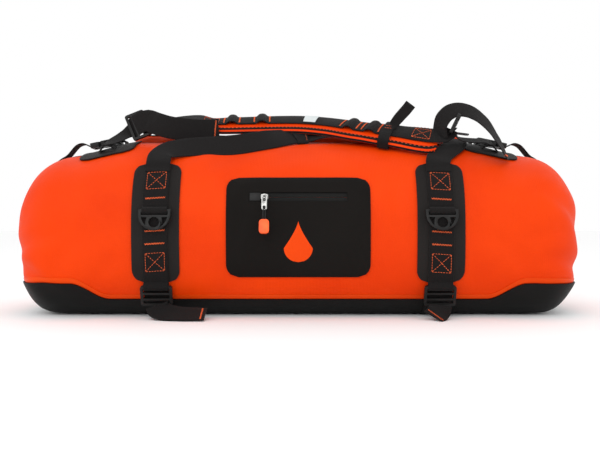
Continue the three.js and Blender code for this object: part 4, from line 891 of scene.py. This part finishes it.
# The main zip's two tapes meet along the ridge. Each carries a row of moulded teeth, all from one mould, set
# half a tooth apart from the row that it faces.
ZIP_LONG, TAPE_EDGE, MAIN_TAPE_THICK = 0.275, 0.0165, 0.0011
TOOTH_SIZE, TOOTH_PITCH, TOOTH_ASIDE = (0.0015, 0.0026, 0.0024), 0.0027, 0.0021
bpy.ops.object.select_all(action="DESELECT")
bpy.ops.mesh.primitive_cube_add(size=1)
tooth = bpy.context.object
edit(tooth)
bpy.ops.transform.resize(value=TOOTH_SIZE)
bpy.ops.mesh.bevel(offset=0.0004, segments=1)
done()
shape = points_of(tooth)
faces = [list(f.vertices) for f in tooth.data.polygons]
bpy.data.objects.remove(tooth)
for face, sy in (("front", -1), ("back", 1)):
    tape = table_grid("main_tape_" + face, (-ZIP_LONG, ZIP_LONG), (0.0001, TAPE_EDGE), 0.006, 0.0013)
    mark_cloth(tape)
    finish_with(tape, ("SOLIDIFY", {"thickness": MAIN_TAPE_THICK, "offset": 1}),
        ("BEVEL", {"width": 0.0003, "segments": 2, "limit_method": "ANGLE"}))
    lay(tape, lambda co: co * [1, sy, 1] + [0, 0, RIDGE_TOP - 0.0004]
        + np.stack([co[:, 0] * 0, co[:, 0] * 0, 0.0004 * np.sin(co[:, 0] * 70)], -1))
    fit(tape, zip_cloth, 45, "bag", "zip_tape_black", "main_zip_tape_" + face)
    places = np.arange(-ZIP_LONG + 0.003, ZIP_LONG - 0.003, TOOTH_PITCH) + (TOOTH_PITCH / 2 if sy > 0 else 0)
    co = np.concatenate([shape + [x, sy * TOOTH_ASIDE, RIDGE_TOP + 0.0003] for x in places])
    corners = [[v + i * len(shape) for v in f] for i in range(len(places)) for f in faces]
    row = bpy.data.objects.new("main_teeth_" + face, bpy.data.meshes.new("main_teeth_" + face))
    row.data.from_pydata(co.tolist(), [], corners)
    bpy.context.collection.objects.link(row)
    row.data.materials.append(zip_teeth)
    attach(row, "bag")
refined("main_zip_slider", "main_slider_cast", "main_slider", bright_metal, 0.0006)
plastic_part("main_zip_pull", "main_puller_moulded", "main_pull", 0.0005)

# A black coated patch saddles the top at each end. It carries the end buckle, and the anchor of the
# shoulder strap. The buckle's cinch strap is sewn to the bag's end.
PATCH_IN, PATCH_OUT, PATCH_GIRTH = 0.266, 0.356, 0.104
NOTCH_U, NOTCH_G = 0.289, 0.034
PATCH_CORNER, PATCH_THICK, PATCH_RIM, PATCH_SEAT = 0.018, 0.0020, 0.0005, 0.0008
END_SEWN = (0.359, 0.4545)
END_WEB, BUCKLE_X, BUCKLE_RISE, SLOPE = 0.025, 0.322, 0.015, 0.2
BAR_REACH, EYE_REACH = 0.0366, 0.013
for side, sx in (("left", -1), ("right", 1)):
    patch = cut_panel("top_saddle_" + side, (PATCH_IN, PATCH_OUT), (-PATCH_GIRTH, PATCH_GIRTH), 0.0045,
        PATCH_CORNER, PATCH_RIM)
    snap_lines(patch, 1, [-NOTCH_G, NOTCH_G])
    cut_out(patch, lambda x, y: x < NOTCH_U and abs(y) < NOTCH_G)
    mark_cloth(patch)
    thicken(patch, PATCH_THICK)
    lay(patch, lambda co: on_skin(co * [sx, 1, 1] + [0, 0, PATCH_SEAT]))
    fit(patch, pad_cloth, 45, "bag", "coated_fabric_black", "top_patch_" + side)

    sewn_part = table_grid("end_webbing_" + side, END_SEWN, (-END_WEB / 2, END_WEB / 2), 0.0035,
        END_WEB / 6)
    mark_cloth(sewn_part)
    for corner in sewn_part.data.uv_layers.active.data:
        corner.uv = (corner.uv.y, corner.uv.x)
    thicken(sewn_part, WEB_THICK, WEB_EDGE)
    lay(sewn_part, lambda co: on_skin(co * [sx, 1, 1] + [0, 0, PATCH_SEAT]))
    fit(sewn_part, black_web, 45, "bag", "webbing_black", "end_strap_" + side)
    sew(f"end_stitches_{side}",
        box_and_cross(0.408, -0.009, 0.009, half=0.012) + [[(0.437, -0.009), (0.437, 0.009)]],
        lambda co: on_skin(co * [sx, 1, 1]), 0.0026, "bag", orange_thread, pitch=0.004)

    middle = Vector(on_skin([[sx * BUCKLE_X, 0, BUCKLE_RISE]], 0)[0])
    down_slope = Vector((sx * math.cos(SLOPE), 0, -math.sin(SLOPE)))
    bar = middle + down_slope * BAR_REACH
    foot = Vector(on_skin([[sx * (STRAIGHT + 0.034), 0, 0.0040]], 0)[0])
    end = Vector(on_skin([[sx * (STRAIGHT + 0.052), 0, 0.0034]], 0)[0])
    start = bar - down_slope * 0.003
    points = [start, bar, bar + Vector((sx * 0.011, 0, 0.005)), bar + Vector((sx * 0.022, 0, 0.002)),
        foot + Vector((-sx * 0.008, 0, 0.005)), foot, end]
    slack, _, _ = strap_along("end_slack_" + side, points, [(0, 0, 1)] * len(points), None,
        "end_strap_slack_" + side, wide=END_WEB)
    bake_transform(slack)
    plastic_part("end_buckle_socket_" + side, f"end_buckle_{side}_socket", "bag", 0.0010)
    plastic_part("end_buckle_plug_" + side, f"end_buckle_{side}_plug", "plug_" + side)
    # The socket is tied down to the patch by a short fold of webbing.
    low = Vector(on_skin([[sx * 0.300, 0, 0.0046]], 0)[0])
    eye = middle - down_slope * EYE_REACH
    fold = [low + Vector((sx * 0.016, 0, -0.0016)), low, low + Vector((-sx * 0.001, 0, 0.006)), eye]
    strap_along("end_buckle_tie_" + side, fold,
        [(0, 0, 1), (-sx * 0.4, 0, 0.8), (-sx * 0.8, 0, 0.5), (0, 0, 1)], "bag", wide=END_WEB, pitch=0.0025)

# Two carry handles of the same webbing are sewn to the pads and lie over the top. The front one goes under
# the shoulder strap, and has a folded grip in its middle.
HANDLE_TOP = PAD_TOP + 0.003


def over_bag(spots):
    """Points (along, girth, off the skin) in millimetres and the way a strap on them faces."""
    spots = np.array(spots, float) / 1000
    at = on_skin(spots, 0)
    faces = on_skin(spots + [0, 0, 0.01], 0) - at
    return at.tolist(), (faces * 100).tolist()


pad_top, pad_x, handle_top = PAD_TOP * 1000, PAD_X * 1000, HANDLE_TOP * 1000
front_line = [
    [-pad_x, pad_top + 20, 6.9], [-pad_x, pad_top + 11, 7.2], [-pad_x, handle_top, 9.5],
    [-pad_x + 2, pad_top - 14, 10], [-200, pad_top - 28, 9], [-150, 97, 7], [-102, 96, 9], [-50, 80, 12],
    [-2, 52, 12], [50, 46, 11], [110, 44, 8], [160, 50, 7], [205, 48, 7], [236, 52, 7], [256, 72, 6],
    [249, 96, 5], [pad_x + 7, pad_top - 15, 6], [pad_x, handle_top, 8.5], [pad_x, pad_top + 11, 7.2],
    [pad_x, pad_top + 20, 6.9],
]
back_line = [
    [-pad_x, -pad_top - 20, 6.9], [-pad_x, -pad_top - 11, 7.2], [-pad_x, -handle_top, 8],
    [-pad_x + 4, -pad_top + 16, 9], [-190, -106, 8], [-120, -96, 5], [0, -94, 5], [120, -96, 5],
    [190, -106, 8], [pad_x - 4, -pad_top + 16, 9], [pad_x, -handle_top, 8],
    [pad_x, -pad_top - 11, 7.2], [pad_x, -pad_top - 20, 6.9],
]
handle_ways = {}
for face, sf, spots in (("front", 1, front_line), ("back", -1, back_line)):
    points, faces = over_bag(spots)
    if face == "front":
        for i, lean in ((4, 0.5), (5, 0.9), (6, 1.3), (7, 1.3), (8, 0.8)):
            faces[i][1] -= lean
    way, length, line, run = strap_path(points, faces)
    handle_ways[face] = (way, line, run)
    handle = run_webbing(cut_webbing(f"carry_handle_{face}", length), way, None, f"{face}_handle")
    low, high = on_skin([[0, sf * (PAD_TOP + 0.008), 0.008], [0, sf * (PAD_TOP - 0.010), 0.008]], 0)
    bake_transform(handle)
    lines = [[(-0.0165, 0.03), (-0.0165, length - 0.03)], [(0.0165, 0.03), (0.0165, length - 0.03)]]
    seams = sew(f"handle_seams_{face}", lines, way, 0.0009, None, cord_cloth, pitch=0.0048)
    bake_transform(seams)

way, line, run = handle_ways["front"]
GRIP_X, GRIP_LONG, GRIP_HALF, GRIP_THICK, GRIP_WALL = 0.003, 0.024, 0.0203, 0.0019, 0.0008
grip_at = float(np.interp(GRIP_X, line[:, 0], run))
grip = table_grid("handle_grip_wrap", (0, 1), (grip_at - GRIP_LONG / 2, grip_at + GRIP_LONG / 2), 1 / 36,
    0.003)
mark_cloth(grip)
co = points_of(grip)
turn = co[:, 0] * 2 * math.pi
co[:, 0] = GRIP_HALF * np.sign(np.cos(turn)) * np.abs(np.cos(turn)) ** 0.35
co[:, 2] = GRIP_THICK * np.sign(np.sin(turn)) * np.abs(np.sin(turn)) ** 0.6
set_points(grip, co)
close_seam(grip, 0.00002)
give_wall(grip, GRIP_WALL)
lay(grip, way)
fit(grip, black_web, 50, "front_handle", "webbing_black")
sew("handle_grip_stitch", [[(-0.017, grip_at + 0.009), (0.017, grip_at + 0.009)]], way, 0.0031,
    "front_handle", orange_thread, pitch=0.0045)

# The shoulder strap is a foam pad in orange cloth, bound along both edges in black with orange stitches.
# Webbing runs along its face with sewn loops, a blank woven label and a keeper, to an adjuster at each end.
STRAP_HALF, STRAP_THICK = 0.033, 0.011
strap_spots = np.array([
    [-150, -28, 18], [-110, -28, 19], [0, -28, 21], [50, -38, 16], [105, -60, 5], [156, -79, -4],
    [200, -94, -12], [226, -99, -16],
]) / 1000 + [0, 0, RIDGE_TOP]
strap_looks = [(0, -0.4, 0.92), (0, -0.42, 0.9), (0, -0.45, 0.89), (0, -0.46, 0.88), (0, -0.5, 0.86),
    (0, -0.58, 0.81), (0, -0.66, 0.75), (0, -0.68, 0.73)]
strap_way, strap_long, strap_line, strap_run = strap_path(strap_spots, strap_looks)


def strap_at(x):
    return float(np.interp(x, strap_line[:, 0], strap_run))


def half_width(s):
    into = np.clip(np.minimum(s, strap_long - s) / 0.022, 0, 1)
    return STRAP_HALF * (0.62 + 0.38 * np.sqrt(1 - (1 - into) ** 2))


STRAP_EDGE = 0.0026


def half_thick(x, s):
    """Half the pad's thickness: full along its middle, thin at its bound edges and ends."""
    into = np.clip(np.minimum(s, strap_long - s) / 0.007, 0, 1)
    crown = 1 - np.clip(np.abs(x) / half_width(s), 0, 1) ** 3
    return (STRAP_EDGE + (STRAP_THICK / 2 - STRAP_EDGE) * crown) * np.sqrt(1 - (1 - into) ** 2)


def drape(x):
    """The pad curves down over the bag towards its two edges."""
    return -0.0058 * (x / STRAP_HALF) ** 2


def pad_way(co):
    return strap_way(co + np.stack([0 * co[:, 0], 0 * co[:, 0], drape(co[:, 0])], -1))


cushion = table_grid("shoulder_cushion", (0, 1), (0, strap_long), 1 / 48, 0.0045)
snap_lines(cushion, 1, [0.001, strap_long - 0.001])
mark_cloth(cushion)
for corner in cushion.data.uv_layers.active.data:
    corner.uv.x *= 0.15
co = points_of(cushion)
turn = co[:, 0] * 2 * math.pi
round_edge = np.clip(np.abs(np.cos(turn)), 0, 1)
co[:, 0] = half_width(co[:, 1]) * np.sign(np.cos(turn)) * round_edge ** 0.5
co[:, 2] = (half_thick(co[:, 0], co[:, 1]) * np.sign(np.sin(turn))
    * np.minimum(np.abs(np.sin(turn)) * 2.6, 1) ** 0.6)
set_points(cushion, co)
close_seam(cushion, 0.00002)
lay(cushion, pad_way)
fit(cushion, orange_cloth, 70, "shoulder_strap", "coated_fabric_orange", "shoulder_pad")

# The binding is black webbing folded over each edge of the pad and sewn through with orange thread, a little
# way in from its own edge.
BIND_GAP, BIND_INTO, BIND_THICK, BIND_SEAM = 0.0003, 0.0052, 0.0008, 0.0062
for edge, se in (("lower", -1), ("upper", 1)):
    binding = table_grid("strap_binding_" + edge, (-1, 1), (0.001, strap_long - 0.001), 0.1, 0.0045)
    mark_cloth(binding)
    for corner in binding.data.uv_layers.active.data:
        corner.uv.x *= 0.01
    co = points_of(binding)
    wrap, wide = co[:, 0].copy(), half_width(co[:, 1])
    radius = half_thick(se * wide, co[:, 1]) + BIND_GAP
    inward = np.maximum(np.abs(wrap) - 0.5, 0) * 2 * BIND_INTO
    bend = np.clip(wrap / 0.5, -1, 1) * math.pi / 2
    co[:, 0] = se * (wide - radius + BIND_GAP + radius * np.cos(bend) - inward)
    co[:, 2] = np.where(np.abs(wrap) > 0.5, np.sign(wrap) * (half_thick(co[:, 0], co[:, 1]) + 0.0004),
        radius * np.sin(bend))
    set_points(binding, co)
    give_wall(binding, BIND_THICK, se)
    lay(binding, pad_way)
    fit(binding, black_web, 60, "shoulder_strap", "webbing_black")
    steps = np.linspace(0.004, strap_long - 0.004, 60)
    lines = [[(se * (float(half_width(s)) - BIND_SEAM), float(s)) for s in steps]]
    sew(f"binding_stitches_{edge}", lines, pad_way, STRAP_EDGE + 0.0024, "shoulder_strap", orange_thread,
        pitch=0.0052)

PAD_CLEAR = 0.0008
RISE = STRAP_THICK / 2 + PAD_CLEAR + WEB_THICK / 2
lead = (np.array([[-228, -46, 18], [-212, -43, 21], [-190, -38, 25], [-168, -33, 27]]) / 1000
    + [0, 0, RIDGE_TOP + WEB_THICK / 2])
leave = np.array([[234, -103, -8], [239, -105, 2]]) / 1000 + [0, 0, RIDGE_TOP]
marks = np.linspace(0.004, strap_long - 0.004, 14)
seat = strap_way(np.stack([marks * 0, marks, np.full(14, RISE)], -1))
looks = strap_way(np.stack([marks * 0, marks, np.full(14, RISE + 0.01)], -1)) - seat
points = np.concatenate([lead, seat, leave]).tolist()
faces = [(looks[0] * 100).tolist()] * 4 + (looks * 100).tolist() + [(looks[-1] * 100).tolist()] * 2
web_way, web_long, web_line, web_run = strap_path(points, faces)


def web_at(x):
    return float(np.interp(x, web_line[:, 0], web_run))


def on_strap(co):
    """Lays a piece on the strap's webbing, curved over the pad as it is."""
    over_pad = ease((co[:, 1] - web_at(-0.165)) / 0.02) * ease((web_at(0.222) - co[:, 1]) / 0.02)
    return web_way(co + np.stack([0 * co[:, 0], 0 * co[:, 0], drape(co[:, 0]) * over_pad], -1))


LOOPS = [-0.113, -0.062, 0.088, 0.122]
run_webbing(
    cut_webbing("shoulder_strap_webbing", web_long, pitch=0.0018,
        shape=lambda s: sum(hump(s, web_at(x), 0.0062, 0.0026) for x in LOOPS)),
    on_strap, "shoulder_strap", "shoulder_webbing")
lines = box_and_cross(0, web_at(0.186), web_at(0.212), half=0.013)
for x in LOOPS:
    lines += bartack(0, web_at(x - 0.013)) + bartack(0, web_at(x + 0.013))
lines += box_and_cross(0, web_at(-0.16), web_at(-0.135), half=0.013)
sew("shoulder_web_stitches", lines, on_strap, WEB_THICK / 2 + THREAD_UP, "shoulder_strap", orange_thread)

# A blank woven label in light grey lies on the strap's webbing, near the middle of the pad.
LABEL_WIDE, LABEL_LONG, LABEL_THICK = 0.030, 0.022, 0.0006
label_s = strap_at(0.021)
label = table_grid("woven_label", (-LABEL_WIDE / 2, LABEL_WIDE / 2),
    (label_s - LABEL_LONG / 2, label_s + LABEL_LONG / 2), 0.003, 0.003)
mark_cloth(label)
thicken(label, LABEL_THICK, 0.0002)
lay(label, lambda co: pad_way(co + [0, 0, STRAP_THICK / 2 + PAD_CLEAR + WEB_THICK + PAD_CLEAR]))
label_cloth = webbing_cloth("label_grey", (0.60, 0.64, 0.64), pitch=0.0008, roughness=0.8)
fit(label, label_cloth, 45, "shoulder_strap", "label_grey", "strap_label")

# The keeper is a loop of narrow webbing round the pad, sewn shut over the strap's webbing. Its own free end
# stands up beside the strap.
KEEPER_LONG, KEEPER_ASIDE, KEEPER_UP, KEEPER_OVER = 0.018, 0.0016, 0.0013, 0.0026
keeper_s = strap_at(0.148)
keeper = table_grid("strap_keeper_loop", (0, 1), (keeper_s - KEEPER_LONG / 2, keeper_s + KEEPER_LONG / 2),
    1 / 56, KEEPER_LONG / 5)
mark_cloth(keeper)
for corner in keeper.data.uv_layers.active.data:
    corner.uv = (corner.uv.y, corner.uv.x * 0.16)
co = points_of(keeper)
turn = co[:, 0] * 2 * math.pi
co[:, 0] = (STRAP_HALF + KEEPER_ASIDE) * np.sign(np.cos(turn)) * np.abs(np.cos(turn)) ** 0.3
co[:, 2] = (KEEPER_UP
    + (STRAP_THICK / 2 + KEEPER_OVER) * np.sign(np.sin(turn)) * np.abs(np.sin(turn)) ** 0.45)
set_points(keeper, co)
close_seam(keeper, 0.00002)
give_wall(keeper, WEB_THICK)
lay(keeper, pad_way)
fit(keeper, black_web, 50, "shoulder_strap", "webbing_black", "strap_keeper")
sew("keeper_stitches",
    [[(-0.004, keeper_s - 0.006), (-0.004, keeper_s + 0.006)],
        [(0.004, keeper_s - 0.006), (0.004, keeper_s + 0.006)]],
    pad_way, STRAP_THICK / 2 + KEEPER_UP + KEEPER_OVER + WEB_THICK, "shoulder_strap", orange_thread, pitch=0.004)
spots = [(0.150, -0.078, 0.300), (0.156, -0.084, 0.309), (0.165, -0.088, 0.320), (0.175, -0.088, 0.331),
    (0.183, -0.086, 0.341)]
strap_along("keeper_tail", spots,
    [(-0.3, -0.5, 0.8), (-0.3, -0.8, 0.4), (-0.2, -0.95, 0.2), (-0.1, -1, 0.1), (0, -1, 0.1)],
    "shoulder_strap", wide=KEEPER_LONG, pitch=0.003)

# The adjusters are ladder locks. The strap's webbing doubles back through each, its free tail hangs by it,
# and a length of webbing goes on from it to the anchor on the patch.
plastic_part("strap_lock_left", "shoulder_lock_left", "shoulder_strap")
plastic_part("strap_lock_right", "shoulder_lock_right", "shoulder_strap")
OVER_RIDGE = np.array([0, 0, RIDGE_TOP])
lock = np.array([-0.268, -0.052, 0.013]) + OVER_RIDGE
lock_up, lock_out = np.array([0.88, 0.1, 0.42]), np.array([-0.04, -0.93, 0.3])
outside = lock_out * 0.0055
left_tail = [lock - lock_up * 0.013 - outside * 0.6, lock - lock_up * 0.004 + outside * 0.5,
    lock + lock_up * 0.004 + outside, lock + lock_up * 0.016 + outside]
left_tail += [np.array(p) / 1000 + OVER_RIDGE
    for p in ([-237, -62, 15], [-215, -67, 8], [-190, -68, 4], [-155, -66, 2], [-132, -63, 4])]
_, way, length = strap_along("shoulder_tail_left", left_tail,
    [tuple(lock_out)] * 4 + [(0, -1, 0.15)] * 5, "shoulder_strap", "strap_tail_left")
sew("shoulder_tail_hem_left", bartack(0, length - 0.009, 0.016, 0.0012, lean=0.006), way,
    WEB_THICK / 2 + THREAD_UP, "shoulder_strap", orange_thread)
# Behind the tail, the part that comes from the pad turns round the lock's far bar.
behind = [lead[0], lead[0] + [-0.012, -0.003, -0.001], lock + lock_up * 0.013 - outside,
    lock + lock_up * 0.001 - outside * 1.6]
strap_along("shoulder_web_to_lock_left", behind,
    [(0, -0.4, 0.9), (0, -0.7, 0.7), tuple(lock_out), tuple(lock_out)], "shoulder_strap")
RIGHT_TAIL_WEB = 0.033
right_tail = [
    (0.229, -0.104, 0.283), (0.2265, -0.106, 0.300), (0.233, -0.109, 0.317), (0.248, -0.111, 0.327),
    (0.270, -0.112, 0.3255), (0.293, -0.113, 0.311), (0.313, -0.116, 0.284), (0.331, -0.122, 0.247),
]
right_faces = [(-0.9, -0.4, 0.1), (-0.85, -0.5, 0.2), (-0.6, -0.7, 0.45), (-0.1, -0.75, 0.65),
    (0.3, -0.75, 0.6), (0.6, -0.65, 0.45), (0.75, -0.5, 0.4), (0.85, -0.35, 0.4)]
_, way, length = strap_along("shoulder_tail_right", right_tail, right_faces, "shoulder_strap",
    "strap_tail_right", wide=RIGHT_TAIL_WEB)
for name, height in (("face", 1), ("back", -1)):
    sew("shoulder_tail_hem_right_" + name, bartack(0, length - 0.007, 0.014, 0.0012), way,
        height * (WEB_THICK / 2 + THREAD_UP), "shoulder_strap", orange_thread)

# The anchors are short loops of narrow webbing sewn to the top patches. A length of the same webbing goes
# from each shoulder lock to its loop.
ANCHOR_G, ANCHOR_RISE = 0.072, 0.0038
for side, sx in (("left", -1), ("right", 1)):
    spots = np.array([[sx * u, ANCHOR_G, ANCHOR_RISE + h]
        for u, h in ((0.300, 0), (0.306, 0.005), (0.313, 0.008), (0.320, 0.005), (0.326, 0))])
    at = on_skin(spots, 0)
    looks = on_skin(spots + [0, 0, 0.01], 0) - at
    strap_along("anchor_loop_" + side, at, (looks * 100).tolist(), "bag", "strap_anchor_" + side,
        wide=END_WEB, pitch=0.002)
    top = Vector(at[2])
    if side == "left":
        far = Vector(lock - lock_up * 0.012 - outside)
        points = [far + Vector(lock_up) * 0.006, far, far + Vector((-0.010, -0.004, -0.008)),
            top + Vector((0.008, 0, 0.004)), top + Vector((-0.003, 0, 0.0015))]
        looks = [tuple(lock_out)] * 2 + [(-0.2, -0.8, 0.5), (0, -0.4, 0.9), looks[2]]
    else:
        far = Vector((0.250, -0.100, 0.290))
        points = [far + Vector((0.002, -0.001, 0.010)), far, Vector((0.262, -0.094, 0.283)),
            top + Vector((-0.010, 0, 0.005)), top + Vector((0.003, 0, 0.0015))]
        looks = [(0.9, 0, 0.3), (0.6, -0.2, 0.7), (0.2, -0.4, 0.9), (0, -0.4, 0.9), looks[2]]
    link_web, _, _ = strap_along("anchor_webbing_" + side, points, looks, None, wide=END_WEB, pitch=0.003)
    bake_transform(link_web)
